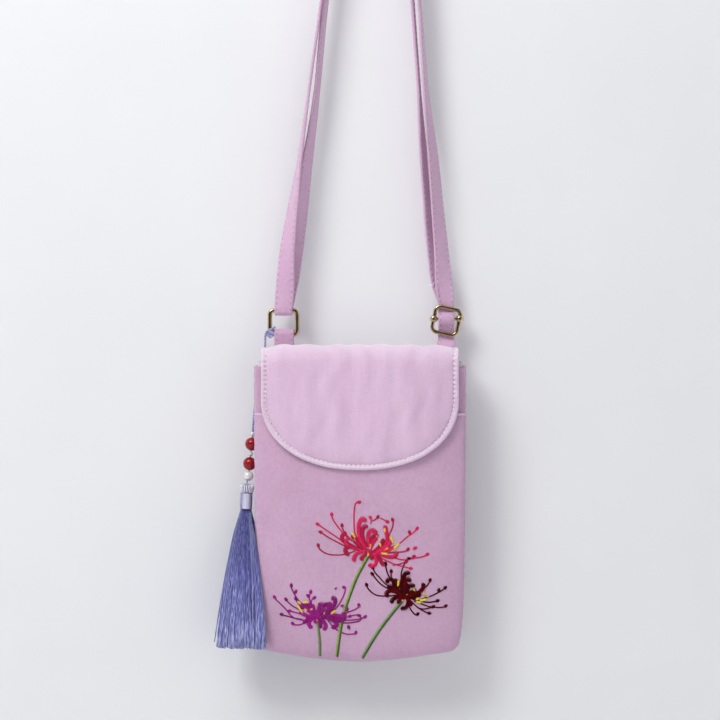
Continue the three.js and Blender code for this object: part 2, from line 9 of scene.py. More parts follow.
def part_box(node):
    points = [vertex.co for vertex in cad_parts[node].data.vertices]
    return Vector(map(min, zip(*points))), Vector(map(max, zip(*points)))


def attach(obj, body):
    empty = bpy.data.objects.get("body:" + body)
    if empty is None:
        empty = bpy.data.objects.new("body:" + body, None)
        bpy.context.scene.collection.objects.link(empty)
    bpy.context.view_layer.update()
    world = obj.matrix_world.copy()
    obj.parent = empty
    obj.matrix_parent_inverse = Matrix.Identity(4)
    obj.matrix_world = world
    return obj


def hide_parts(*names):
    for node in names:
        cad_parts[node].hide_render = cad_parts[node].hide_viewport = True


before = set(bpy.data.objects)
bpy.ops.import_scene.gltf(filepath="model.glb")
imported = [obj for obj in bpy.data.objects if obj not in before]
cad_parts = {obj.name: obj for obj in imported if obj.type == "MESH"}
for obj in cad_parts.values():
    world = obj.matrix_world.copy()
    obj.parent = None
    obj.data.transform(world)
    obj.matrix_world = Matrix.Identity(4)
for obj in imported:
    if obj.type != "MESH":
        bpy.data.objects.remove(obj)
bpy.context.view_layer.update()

# Sizes and places. Everything is in metres; MM turns the maker's millimetres into metres.
MM = 0.001
GAP = 0.3 * MM
PHOTO_SIDE = 720
PHOTO_SCALE = 0.59 * MM
# Pixels from the top of the peg down to the photo's upper edge.
PEG_ABOVE_PHOTO = 232


def corners(node):
    """The lowest and the highest corner of a CAD node's box."""
    return [Vector(corner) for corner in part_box(node)]


pouch_low, pouch_high = corners("pouch")
flap_low, flap_high = corners("flap")

BAG_MIDDLE = (pouch_low.x + pouch_high.x) / 2
BAG_HALF = (pouch_high.x - pouch_low.x) / 2
BAG_BOTTOM = pouch_low.z
RIM = pouch_high.z
BAG_HEIGHT = RIM - BAG_BOTTOM
BAG_FRONT = 10.5 * MM
BAG_BACK = 10 * MM
WIDEST = pouch_high.y - BAG_BACK
BAG_BOW = 5.5 * MM
BOW_FALL = 6
BOW_POWER = 1.6
SQUARENESS = 3
CLOTH = 1.8 * MM
POCKET_WALL = 1.6 * MM
HEM = corners("front_pocket")[1].z
HEM_SHARE = (HEM - BAG_BOTTOM) / BAG_HEIGHT

FLAP_HALF = (flap_high.x - flap_low.x) / 2
FLAP_TOP = flap_high.z
FLAP_TIP = flap_low.z
FLAP_CURVE = 41.3 * MM
FLAP_ROUND = 2.2
FLAP_SEAM = 12 * MM
FLAP_BACK_WALL = 2 * MM
FLAP_PAD = 3 * MM
FLAP_EASE = 1 * MM


def photo_place(across, down):
    """The place in X and Z of a pixel of the 720 by 720 photo, on the bag's plane."""
    x = BAG_MIDDLE + (across - PHOTO_SIDE / 2) * PHOTO_SCALE
    z = -(down + PEG_ABOVE_PHOTO) * PHOTO_SCALE
    return x, z


def smooth_column(rows, key, place):
    """A smooth curve through a table's column, at places along its first column."""
    x = np.array([row["up"] for row in rows])
    y = np.array([row[key] for row in rows])
    slope = np.gradient(y, x)
    i = np.clip(np.searchsorted(x, place, side="right") - 1, 0, len(x) - 2)
    step = x[i + 1] - x[i]
    t = np.clip((place - x[i]) / step, 0, 1)
    a = (1 + 2 * t) * (1 - t) ** 2 * y[i] + t * (1 - t) ** 2 * step * slope[i]
    b = t * t * (3 - 2 * t) * y[i + 1] - t * t * (1 - t) * step * slope[i + 1]
    return a + b


# The pouch's sections from its lower edge to its rim, as shares of its height, half width and depths.
BAG_ROWS = [
    {"up": 0.0, "wide": 0.8, "front": 0.12, "back": 0.3},
    {"up": 0.012, "wide": 0.888, "front": 0.32, "back": 0.6},
    {"up": 0.03, "wide": 0.925, "front": 0.5, "back": 0.8},
    {"up": 0.065, "wide": 0.948, "front": 0.68, "back": 0.94},
    {"up": 0.14, "wide": 0.968, "front": 0.86, "back": 1.0},
    {"up": 0.28, "wide": 0.982, "front": 1.0, "back": 1.0},
    {"up": 0.48, "wide": 0.99, "front": 1.0, "back": 1.0},
    {"up": 0.68, "wide": 0.995, "front": 0.88, "back": 1.0},
    {"up": 0.84, "wide": 0.998, "front": 0.66, "back": 1.0},
    {"up": 1.0, "wide": 1.0, "front": 0.42, "back": 1.0},
]


def bag_point(up, angle, grow):
    """Points of the bag's form, grown outwards; angle runs round a section from its right edge."""
    cos, sin = np.cos(angle), np.sin(angle)
    across = np.sign(cos) * np.abs(cos) ** (2 / SQUARENESS)
    deep = np.sign(sin) * np.abs(sin) ** (2 / SQUARENESS)
    wide = BAG_HALF * smooth_column(BAG_ROWS, "wide", up) + grow
    front = BAG_FRONT * smooth_column(BAG_ROWS, "front", up)
    back = BAG_BACK * smooth_column(BAG_ROWS, "back", up)
    bow = BAG_BOW * np.abs(across) ** BOW_POWER * (1 - up) ** BOW_FALL
    y = WIDEST + deep * (np.where(sin < 0, front, back) + grow)
    return np.stack([BAG_MIDDLE + across * wide, y, BAG_BOTTOM + up * BAG_HEIGHT + bow], -1)


def bag_front(x, z, grow):
    """How far forward the bag's front lies at a place, grown outwards."""
    up = np.clip((z - BAG_BOTTOM) / BAG_HEIGHT, 0, 1)
    wide = BAG_HALF * smooth_column(BAG_ROWS, "wide", up) + grow
    across = np.clip(np.abs(x - BAG_MIDDLE) / wide, 0, 1)
    bulge = (1 - across**SQUARENESS) ** (1 / SQUARENESS)
    return WIDEST - (BAG_FRONT * smooth_column(BAG_ROWS, "front", up) + grow) * bulge


def soft_waves(points, seed, size, count=9):
    """A smooth wandering value for each point, from a few crossed waves of about one size."""
    rng = np.random.default_rng(seed)
    total = np.zeros(len(points))
    for _ in range(count):
        way = rng.normal(size=3)
        way /= np.linalg.norm(way)
        wave = size * rng.uniform(0.7, 1.6)
        total += np.sin(points @ way * 2 * math.pi / wave + rng.uniform(0, 2 * math.pi))
    return total / math.sqrt(count)


def waved(points, waves):
    """The sum of several soft waves, each with its seed, its size and its depth."""
    return sum(soft_waves(points, seed, size) * deep for seed, size, deep in waves)


# Working tools.
TINY = 1e-12


def unit(vectors):
    """Vectors of length 1."""
    return vectors / (np.linalg.norm(vectors, axis=-1, keepdims=True) + TINY)


def reached(value, length):
    """How far a value has come along a length, from 0 to 1."""
    return np.clip(value / length, 0, 1)


def rounded_edge(edge, radius):
    """The height over a round edge, from 0 at the edge to 1 at its radius."""
    return np.sqrt(np.clip(1 - (1 - reached(edge, radius)) ** 2, 0, 1))


def bell(offset, width):
    """1 in the middle, falling away to both sides."""
    return np.exp(-((offset / width) ** 2))


def needle_share(run, pitch):
    """1 at each needle hole of a seam and 0 half way along each stitch."""
    return 0.5 + 0.5 * np.cos(run / pitch * 2 * math.pi)


def between(at, places, rows):
    """Rows in between those of a table, at places along it."""
    return np.stack([np.interp(at, places, rows[:, k]) for k in range(rows.shape[1])], -1)


def run_of(points):
    """The length run so far at each point of a line."""
    return np.concatenate([[0], np.cumsum(np.linalg.norm(np.diff(points, axis=0), axis=1))])


def clear_selection():
    if bpy.context.object and bpy.context.object.mode != "OBJECT":
        bpy.ops.object.mode_set(mode="OBJECT")
    bpy.ops.object.select_all(action="DESELECT")


def pick(piece):
    clear_selection()
    piece.select_set(True)
    bpy.context.view_layer.objects.active = piece


def places_of(piece):
    flat = np.empty(len(piece.data.vertices) * 3)
    piece.data.vertices.foreach_get("co", flat)
    return flat.reshape(-1, 3)


def set_places(piece, points):
    piece.data.vertices.foreach_set("co", np.asarray(points, float).ravel())
    piece.data.update()


def in_edit(piece, *steps):
    """Selects the whole piece in edit mode, runs each step and leaves edit mode."""
    pick(piece)
    bpy.ops.object.mode_set(mode="EDIT")
    for step in steps:
        bpy.ops.mesh.select_all(action="SELECT")
        step()
    bpy.ops.object.mode_set(mode="OBJECT")


def weld():
    bpy.ops.mesh.remove_doubles(threshold=0.004 * MM)


def face_out():
    bpy.ops.mesh.normals_make_consistent(inside=False)


def laid_grid(name, across, along, lay, size=(1, 1), closed=False):
    """A grid primitive whose points are laid by lay(u, v), with its UV map in metres of cloth."""
    clear_selection()
    bpy.ops.mesh.primitive_grid_add(x_subdivisions=across, y_subdivisions=along, size=1, calc_uvs=True)
    piece = bpy.context.object
    piece.name = piece.data.name = name
    flat = places_of(piece)
    set_places(piece, lay(flat[:, 0] + 0.5, flat[:, 1] + 0.5))
    layer = piece.data.uv_layers[0]
    layer.name = "cloth"
    uv = np.empty(len(piece.data.loops) * 2)
    layer.data.foreach_get("uv", uv)
    layer.data.foreach_set("uv", (uv.reshape(-1, 2) * np.array(size)).ravel())
    if closed:
        in_edit(piece, weld, face_out)
    smooth_shade(piece)
    return piece


def smooth_shade(piece):
    pick(piece)
    bpy.ops.object.shade_smooth()


def joined(name, pieces):
    """One piece from several, closed where their edges meet."""
    clear_selection()
    for piece in pieces:
        piece.select_set(True)
    bpy.context.view_layer.objects.active = pieces[0]
    bpy.ops.object.join()
    piece = pieces[0]
    piece.name = piece.data.name = name
    in_edit(piece, weld, face_out)
    smooth_shade(piece)
    return piece


def apply_modifier(piece, kind, **settings):
    pick(piece)
    modifier = piece.modifiers.new(kind.title(), kind)
    for key, value in settings.items():
        setattr(modifier, key, value)
    bpy.ops.object.modifier_apply(modifier=modifier.name)


def threads(name, paths, radius, sides=5):
    """Many threads as one mesh. paths holds the points of each thread, all with as many points."""
    paths = np.asarray(paths, float)
    count, steps = paths.shape[:2]
    radius = np.broadcast_to(np.asarray(radius, float), (count, steps))
    way = unit(np.gradient(paths, axis=1))
    guide = np.where(np.abs(way[..., 1:2]) < 0.9, [[[0.0, 1.0, 0.0]]], [[[1.0, 0.0, 0.0]]])
    side = unit(np.cross(way, guide))
    other = np.cross(way, side)
    turn = np.arange(sides) * 2 * math.pi / sides
    ring = side[:, :, None] * np.cos(turn)[:, None] + other[:, :, None] * np.sin(turn)[:, None]
    points = paths[:, :, None] + ring * radius[:, :, None, None]
    first = (np.arange(count * steps) * sides).reshape(count, steps)
    a = first[:, :-1, None] + np.arange(sides)
    b = first[:, :-1, None] + (np.arange(sides) + 1) % sides
    c = first[:, 1:, None] + (np.arange(sides) + 1) % sides
    d = first[:, 1:, None] + np.arange(sides)
    walls = np.stack([a, d, c, b], -1).reshape(-1, 4)
    ends = np.concatenate([first[:, :1] + np.arange(sides), (first[:, -1:] + np.arange(sides))[:, ::-1]])
    mesh = bpy.data.meshes.new(name)
    corners = np.concatenate([walls.ravel(), ends.ravel()])
    sizes = np.concatenate([np.full(len(walls), 4), np.full(len(ends), sides)])
    mesh.vertices.add(count * steps * sides)
    mesh.vertices.foreach_set("co", points.ravel())
    mesh.loops.add(len(corners))
    mesh.loops.foreach_set("vertex_index", corners.astype(np.int32))
    mesh.polygons.add(len(sizes))
    starts = np.concatenate([[0], np.cumsum(sizes)[:-1]])
    mesh.polygons.foreach_set("loop_start", starts.astype(np.int32))
    mesh.update(calc_edges=True)
    piece = bpy.data.objects.new(name, mesh)
    bpy.context.scene.collection.objects.link(piece)
    smooth_shade(piece)
    return piece


def finish(piece, material, slot, *nodes):
    """Gives a piece its material and ties it to the frame."""
    piece.data.materials.clear()
    piece.data.materials.append(material)
    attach(piece, "root")
    if nodes:
        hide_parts(*nodes)
    return piece


# Camera, stage and light.
CAMERA_AWAY = 1.6
SENSOR = 36
VIEW_PLANE = -10 * MM
FAR_CLIP = 20


def make_camera():
    across, high = photo_place(PHOTO_SIDE / 2, PHOTO_SIDE / 2)
    place = (across, VIEW_PLANE - CAMERA_AWAY, high)
    bpy.ops.object.camera_add(location=place, rotation=(math.pi / 2, 0, 0))
    camera = bpy.context.object
    camera.name = "photo_camera"
    camera.data.sensor_width = SENSOR
    camera.data.lens = SENSOR * CAMERA_AWAY / (PHOTO_SIDE * PHOTO_SCALE)
    camera.data.clip_end = FAR_CLIP
    bpy.context.scene.camera = camera


WALL_BEHIND = 13 * MM
FLOOR_BELOW = 60 * MM
STAGE_REACH = 6
WALL_DROP = 1.2
SQUARE = [(-1, -1), (1, -1), (-1, 1), (1, 1)]
# Each light's name, place, size, power and colour. All of them face the bag's middle.
LIGHTS = [
    ("window_light", (-0.95, -1.15, 0.95), 0.7, 18, (1, 0.99, 0.98)),
    ("room_light", (1.3, -1.4, -0.1), 1.6, 3, (0.96, 0.98, 1)),
    ("back_light", (0.6, 1.6, 0.5), 1.6, 7, (1, 1, 1)),
    ("top_light", (-0.2, -0.5, 0.35), 0.5, 1.6, (1, 1, 1)),
]
SKY_SCALE = 2.2
SKY_TONES = [(0.4, (0.1, 0.1, 0.11)), (0.58, (1.5, 1.51, 1.53))]
SKY_STRENGTH = 0.42


def add_area(name, place, size, power, colour):
    bpy.ops.object.light_add(type="AREA", location=place)
    light = bpy.context.object
    light.name = name
    light.data.shape = "SQUARE"
    light.data.size = size
    light.data.energy = power
    light.data.color = colour
    middle = Vector((BAG_MIDDLE, 0, (BAG_BOTTOM + RIM) / 2))
    light.rotation_euler = (middle - Vector(place)).to_track_quat("-Z", "Y").to_euler()


def stage_plane(name, places, material):
    bpy.ops.mesh.primitive_plane_add(size=1)
    plane = bpy.context.object
    plane.name = name
    set_places(plane, places)
    plane.data.materials.append(material)


def make_stage():
    low = BAG_BOTTOM - FLOOR_BELOW
    upright = [[x * STAGE_REACH, WALL_BEHIND, z * STAGE_REACH - WALL_DROP] for x, z in SQUARE]
    level = [[x * STAGE_REACH, y * STAGE_REACH, low] for x, y in SQUARE]
    stage_plane("wall", upright, wall_paint)
    stage_plane("floor", level, floor_paint)
    for light in LIGHTS:
        add_area(*light)


def make_world():
    """A room that the metal and the beads can mirror: bright patches on a dark surround."""
    world = bpy.data.worlds.new("studio")
    world.use_nodes = True
    tree = world.node_tree
    coord = tree.nodes.new("ShaderNodeTexCoord")
    patches = noise(tree, coord.outputs["Generated"], SKY_SCALE, 1.0)
    background = tree.nodes["Background"]
    wire(tree, ramp(tree, patches, SKY_TONES), background.inputs["Color"])
    background.inputs["Strength"].default_value = SKY_STRENGTH
    bpy.context.scene.world = world
    bpy.context.scene.view_settings.view_transform = "Standard"


# Finishes.
def group_inputs(name, inputs, outputs):
    group = bpy.data.node_groups.new(name, "ShaderNodeTree")
    for title, kind, value in inputs:
        socket = group.interface.new_socket(title, in_out="INPUT", socket_type="NodeSocket" + kind)
        if value is not None:
            socket.default_value = value
    for title, kind in outputs:
        group.interface.new_socket(title, in_out="OUTPUT", socket_type="NodeSocket" + kind)
    return group, group.nodes.new("NodeGroupInput"), group.nodes.new("NodeGroupOutput")


def wire(tree, out, into):
    tree.links.new(out, into)


def maths(tree, operation, a, b=None):
    """A Math node's result. Each input is a number or another node's output."""
    node = tree.nodes.new("ShaderNodeMath")
    node.operation = operation
    for socket, value in zip(node.inputs, (a, b)):
        if isinstance(value, (int, float)):
            socket.default_value = value
        elif value is not None:
            wire(tree, value, socket)
    return node.outputs[0]


def object_place(tree):
    return tree.nodes.new("ShaderNodeTexCoord").outputs["Object"]


# The colour sockets of a Mix node.
MIX_FACTOR, MIX_FIRST, MIX_SECOND, MIX_RESULT = 0, 6, 7, 2


def mix_towards(tree, factor, first, colour):
    """Mixes a colour socket towards a plain colour."""
    node = tree.nodes.new("ShaderNodeMix")
    node.data_type = "RGBA"
    wire(tree, factor, node.inputs[MIX_FACTOR])
    wire(tree, first, node.inputs[MIX_FIRST])
    node.inputs[MIX_SECOND].default_value = (*colour, 1)
    return node.outputs[MIX_RESULT]


def set_surface(shader, **settings):
    """Sets the shader's sockets. A socket's name is written with underscores for its spaces."""
    for name, value in settings.items():
        shader.inputs[name.replace("_", " ")].default_value = value


def noise(tree, vector, scale, detail=2.0, roughness=0.5):
    node = tree.nodes.new("ShaderNodeTexNoise")
    node.inputs["Scale"].default_value = scale
    node.inputs["Detail"].default_value = detail
    node.inputs["Roughness"].default_value = roughness
    wire(tree, vector, node.inputs["Vector"])
    return node.outputs["Fac"]


def stretched(tree, vector, scale):
    node = tree.nodes.new("ShaderNodeMapping")
    node.inputs["Scale"].default_value = scale
    wire(tree, vector, node.inputs["Vector"])
    return node.outputs["Vector"]


SLUB_LONG, SLUB_SHORT = 1500, 120


def build_weave_group():
    """Plain weave on UVs in metres: crossed yarns with slubs. Height is for bump, Shade for colour."""
    group, enter, leave = group_inputs(
        "plain_weave",
        [("Vector", "Vector", None), ("Yarns", "Float", 3000.0), ("Slub", "Float", 0.5)],
        [("Height", "Float"), ("Shade", "Float")],
    )
    uv = enter.outputs["Vector"]
    split = group.nodes.new("ShaderNodeSeparateXYZ")
    wire(group, uv, split.inputs[0])
    waves = []
    for axis in (0, 1):
        yarns = maths(group, "MULTIPLY", split.outputs[axis], enter.outputs["Yarns"])
        waves.append(maths(group, "SINE", maths(group, "MULTIPLY", yarns, math.pi)))
    product = maths(group, "MULTIPLY", *waves)
    yarn_sides = [
        maths(group, "MULTIPLY", maths(group, "ABSOLUTE", wave), maths(group, side, product, 0.0))
        for wave, side in zip(waves, ("GREATER_THAN", "LESS_THAN"))
    ]
    yarn = maths(group, "ADD", *yarn_sides)
    along = noise(group, stretched(group, uv, (SLUB_LONG, SLUB_SHORT, 1)), 1.0)
    cross = noise(group, stretched(group, uv, (SLUB_SHORT, SLUB_LONG, 1)), 1.0)
    slub = maths(group, "SUBTRACT", maths(group, "ADD", along, cross), 1.0)
    slub = maths(group, "MULTIPLY", slub, enter.outputs["Slub"])
    wire(group, maths(group, "ADD", yarn, slub), leave.inputs["Height"])
    wire(group, maths(group, "ADD", maths(group, "MULTIPLY", yarn, 0.35), slub), leave.inputs["Shade"])
    return group


def new_material(name):
    material = bpy.data.materials.new(name)
    material.use_nodes = True
    return material, material.node_tree, material.node_tree.nodes["Principled BSDF"]


def ramp(tree, factor, stops):
    node = tree.nodes.new("ShaderNodeValToRGB")
    elements = node.color_ramp.elements
    while len(elements) < len(stops):
        elements.new(0.5)
    for element, (place, colour) in zip(elements, stops):
        element.position = place
        element.color = (*colour, 1)
    wire(tree, factor, node.inputs["Fac"])
    return node.outputs["Color"]


def bump(tree, height, strength, distance):
    node = tree.nodes.new("ShaderNodeBump")
    node.inputs["Strength"].default_value = strength
    node.inputs["Distance"].default_value = distance
    wire(tree, height, node.inputs["Height"])
    return node.outputs["Normal"]


WEAVE = build_weave_group()


def cloth_material(name, dark, light, yarns=3000, sheen=0.35, mottle=26.0, grain=(1, 1, 1), worn_and_lit_tone=None):
    """Matt woven cotton: yarn colour, slubs, a slow mottle and, when given a pale tone, a mix towards it by
    a point attribute that paints wear and a highlight.
    """
    material, tree, shader = new_material(name)
    uv = tree.nodes.new("ShaderNodeUVMap")
    uv.uv_map = "cloth"
    weave = tree.nodes.new("ShaderNodeGroup")
    weave.node_tree = WEAVE
    weave.inputs["Yarns"].default_value = yarns
    wire(tree, uv.outputs["UV"], weave.inputs["Vector"])
    place = object_place(tree)
    slow = noise(tree, stretched(tree, place, grain), mottle, 4.0, 0.6)
    fine = noise(tree, place, mottle * 22, 3.0, 0.7)
    mixed = maths(tree, "ADD", maths(tree, "MULTIPLY", slow, 0.5), maths(tree, "MULTIPLY", fine, 0.5))
    shade = maths(tree, "ADD", mixed, maths(tree, "MULTIPLY", weave.outputs["Shade"], 0.26))
    colour = ramp(tree, shade, [(0.3, dark), (0.88, light)])
    # The pale mix: partly wear, partly a painted highlight, set by the point attribute.
    if worn_and_lit_tone:
        wear_and_highlight = tree.nodes.new("ShaderNodeAttribute")
        wear_and_highlight.attribute_name = "wear_and_highlight"
        colour = mix_towards(tree, wear_and_highlight.outputs["Fac"], colour, worn_and_lit_tone)
    wire(tree, colour, shader.inputs["Base Color"])
    wire(tree, bump(tree, weave.outputs["Height"], 0.5, 0.12 * MM), shader.inputs["Normal"])
    set_surface(shader, Roughness=0.85, Sheen_Weight=sheen, Sheen_Roughness=0.5, Specular_IOR_Level=0.25)
    return material


def thread_material(name, dark, light, rough=0.5, sheen=0.05, gloss=0.3, crest_highlight=None):
    """Shiny sewing or embroidery thread; when given a pale colour, a painted highlight mixes towards it
    along the thread's crest, where it faces the eye.
    """
    material, tree, shader = new_material(name)
    place = object_place(tree)
    patch = noise(tree, place, 900, 2.0, 0.6)
    slow = noise(tree, place, 100, 2.0, 0.5)
    shade = maths(tree, "ADD", maths(tree, "MULTIPLY", patch, 0.6), maths(tree, "MULTIPLY", slow, 0.4))
    colour = ramp(tree, shade, [(0.3, dark), (0.7, light)])
    # Painted highlight: where the thread faces the eye, its colour is mixed towards the pale colour.
    if crest_highlight:
        facing = tree.nodes.new("ShaderNodeLayerWeight").outputs["Facing"]
        crest_highlight_mask = ramp(tree, facing, [(0.05, (1, 1, 1)), (0.4, (0, 0, 0))])
        colour = mix_towards(tree, crest_highlight_mask, colour, crest_highlight)
    wire(tree, colour, shader.inputs["Base Color"])
    wire(tree, bump(tree, patch, 0.25, 0.08 * MM), shader.inputs["Normal"])
    set_surface(shader, Roughness=rough, Sheen_Weight=sheen, Specular_IOR_Level=gloss,
                Coat_Weight=max(0.0, gloss - 0.4), Coat_Roughness=0.15)
    return material


# The gold's painted reflection, multiplied into its colour, from the middle of a wire or face, where it
# faces the eye, to its turned-away edge: dark, full, then darker.
GOLD_PAINTED_REFLECTION = [(0.04, (0.12, 0.1, 0.08)), (0.2, (1, 1, 1)), (0.55, (1, 1, 1)), (0.8, (0.3, 0.26, 0.22))]


def gold_material():
    """Pale gold plating with fine handling scratches, slightly duller patches and a painted reflection that
    darkens it where it faces the eye and at its edge.
    """
    material, tree, shader = new_material("pale_gold")
    place = object_place(tree)
    scratch = noise(tree, stretched(tree, place, (300, 2600, 900)), 1.0, 3.0)
    patch = noise(tree, place, 260.0, 3.0, 0.6)
    colour = ramp(tree, patch, [(0.3, (0.62, 0.47, 0.25)), (0.7, (0.86, 0.73, 0.49))])
    # Painted reflection: the colour is multiplied by a tone that follows where the metal faces the eye.
    facing = tree.nodes.new("ShaderNodeLayerWeight").outputs["Facing"]
    painted_reflection = tree.nodes.new("ShaderNodeMix")
    painted_reflection.data_type, painted_reflection.blend_type = "RGBA", "MULTIPLY"
    painted_reflection.inputs[MIX_FACTOR].default_value = 1.0
    wire(tree, colour, painted_reflection.inputs[MIX_FIRST])
    wire(tree, ramp(tree, facing, GOLD_PAINTED_REFLECTION), painted_reflection.inputs[MIX_SECOND])
    wire(tree, painted_reflection.outputs[MIX_RESULT], shader.inputs["Base Color"])
    rough = maths(tree, "ADD", maths(tree, "MULTIPLY", scratch, 0.12), 0.08)
    wire(tree, rough, shader.inputs["Roughness"])
    wire(tree, bump(tree, scratch, 0.06, 0.1 * MM), shader.inputs["Normal"])
    set_surface(shader, Metallic=1.0)
    return material


def bead_material(name, dark, light, rough, coat, scale=420.0, clear=0.0, gloss=0.5):
    """A polished bead with a cloud of two tones."""
    material, tree, shader = new_material(name)
    cloud = noise(tree, object_place(tree), scale, 4.0, 0.6)
    wire(tree, ramp(tree, cloud, [(0.35, dark), (0.7, light)]), shader.inputs["Base Color"])
    wire(tree, bump(tree, cloud, 0.05, 0.1 * MM), shader.inputs["Normal"])
    set_surface(shader, Roughness=rough, Coat_Weight=coat, Coat_Roughness=0.05,
                Specular_IOR_Level=gloss, Transmission_Weight=clear)
    return material


def silk_material(name, dark, light, shade):
    """Silky tassel thread, darker towards the skirt's top, with streaks along the threads."""
    material, tree, shader = new_material(name)
    place = object_place(tree)
    streak = noise(tree, stretched(tree, place, (1500, 1500, 22)), 1.0, 3.0)
    split = tree.nodes.new("ShaderNodeSeparateXYZ")
    wire(tree, place, split.inputs[0])
    span = tree.nodes.new("ShaderNodeMapRange")
    wire(tree, split.outputs["Z"], span.inputs["Value"])
    span.inputs["From Min"].default_value = SKIRT_FOOT[2] * MM
    span.inputs["From Max"].default_value = SKIRT_TOP[2] * MM
    span.inputs["To Min"].default_value = 0.14
    span.inputs["To Max"].default_value = -0.22
    value = maths(tree, "ADD", streak, span.outputs["Result"])
    wire(tree, ramp(tree, value, [(0.22, dark), (0.55, shade), (0.8, light)]), shader.inputs["Base Color"])
    set_surface(shader, Roughness=0.36, Sheen_Weight=0.3, Specular_IOR_Level=0.5)
    return material


def stage_material(name, colour, one_sided=False):
    """Pale matt paint. One-sided paint isn't there from behind, nor for light from behind."""
    material, tree, shader = new_material(name)
    grain = noise(tree, object_place(tree), 14.0, 3.0)
    light = tuple(channel * 1.02 for channel in colour)
    wire(tree, ramp(tree, grain, [(0.3, colour), (0.7, light)]), shader.inputs["Base Color"])
    set_surface(shader, Roughness=0.9, Specular_IOR_Level=0.1)
    if one_sided:
        clear = tree.nodes.new("ShaderNodeBsdfTransparent")
        mix = tree.nodes.new("ShaderNodeMixShader")
        path = tree.nodes.new("ShaderNodeLightPath")
        facing = tree.nodes.new("ShaderNodeNewGeometry")
        unseen = maths(tree, "MAXIMUM", path.outputs["Is Shadow Ray"], facing.outputs["Backfacing"])
        wire(tree, unseen, mix.inputs["Fac"])
        wire(tree, shader.outputs["BSDF"], mix.inputs[1])
        wire(tree, clear.outputs["BSDF"], mix.inputs[2])
        wire(tree, mix.outputs["Shader"], tree.nodes["Material Output"].inputs["Surface"])
    return material


# The pouch: outer and inner skin in one, closed along the lower edge and open at the mouth.
SKIN_ROWS = 150
SKIN_STAGES = [0, 8, 104, 108, 142, 150]
STAGE_UP = [0, 0, 1, 1, 0.03, 0.03]
STAGE_GROW = [0, 0, 0, -CLOTH, -CLOTH, -CLOTH]
STAGE_OPEN = [0, 1, 1, 1, 1, 0]
RIM_DIP = 3.4 * MM
RIM_DIP_REACH = 0.12
CORNER_SAG = 1.3 * MM
CORNER_SAG_REACH = 0.04
SEAM_GROOVE = {"width": 1.1 * MM, "deep": 0.4 * MM}
SEAM_PUCKER = {"reach": 7 * MM, "pitch": 6.3 * MM, "deep": 0.2 * MM}
BODY_WAVES = [(3, 46 * MM, 0.2 * MM)]


def rim_dip(up, angle):
    """How far the front's rim sags between the side seams."""
    near = reached(up - (1 - RIM_DIP_REACH), RIM_DIP_REACH)
    return RIM_DIP * near * near * (3 - 2 * near) * np.clip(-np.sin(angle), 0, 1) ** 0.8


def pouch_skin(u, v):
    """The outer skin from the lower edge up to the rim, then the inner skin back down."""
    angle = u * 2 * math.pi
    row = v * SKIN_ROWS
    up = np.interp(row, SKIN_STAGES, STAGE_UP)
    opened = np.interp(row, SKIN_STAGES, STAGE_OPEN)
    points = bag_point(up, angle, np.interp(row, SKIN_STAGES, STAGE_GROW))
    points[:, 1] = WIDEST + (points[:, 1] - WIDEST) * np.sin(opened * math.pi / 2)
    seam = np.minimum(np.abs(u - 0.5), np.minimum(u, 1 - u)) * 2 * math.pi * BAG_HALF * 0.42
    groove = bell(seam, SEAM_GROOVE["width"]) * SEAM_GROOVE["deep"] * opened
    wave = np.sin(up * BAG_HEIGHT / SEAM_PUCKER["pitch"] * 2 * math.pi + np.cos(u * 9))
    pucker = np.exp(-seam / SEAM_PUCKER["reach"]) * wave * SEAM_PUCKER["deep"]
    inward = points - np.stack([np.full(len(u), BAG_MIDDLE), np.full(len(u), WIDEST), points[:, 2]], -1)
    points -= unit(inward) * (groove + pucker * opened)[:, None]
    points[:, 1] += waved(points, BODY_WAVES) * opened
    corner = reached(up - (1 - CORNER_SAG_REACH), CORNER_SAG_REACH) ** 2 * np.abs(np.cos(angle)) ** 24
    points[:, 2] -= rim_dip(up, angle) + corner * CORNER_SAG
    return points


def make_pouch():
    around = 2 * math.pi * BAG_HALF * 0.65
    skin = laid_grid("pouch_body", 160, SKIN_ROWS, pouch_skin, (around, 2 * BAG_HEIGHT), closed=True)
    return finish(skin, cotton, "lilac_cotton", "pouch")


def form_normal(lay, u, v, outward):
    """The normal of a form; outward is 1, or -1 where the form runs the other way round."""
    step = 0.001
    across = lay(np.clip(u + step, 0, 1), v) - lay(np.clip(u - step, 0, 1), v)
    along = lay(u, np.clip(v + step, 0, 1)) - lay(u, np.clip(v - step, 0, 1))
    return unit(np.cross(across, along) * outward)


# A short cloth simulation: how a sewn panel swells under its padding.
SIM_FRAMES = 20
SIM_QUALITY = 6
SIM_MASS = 0.3
SIM_STRETCH = 8
SIM_SHEAR = 4
SIM_PRESSURE = 4.0


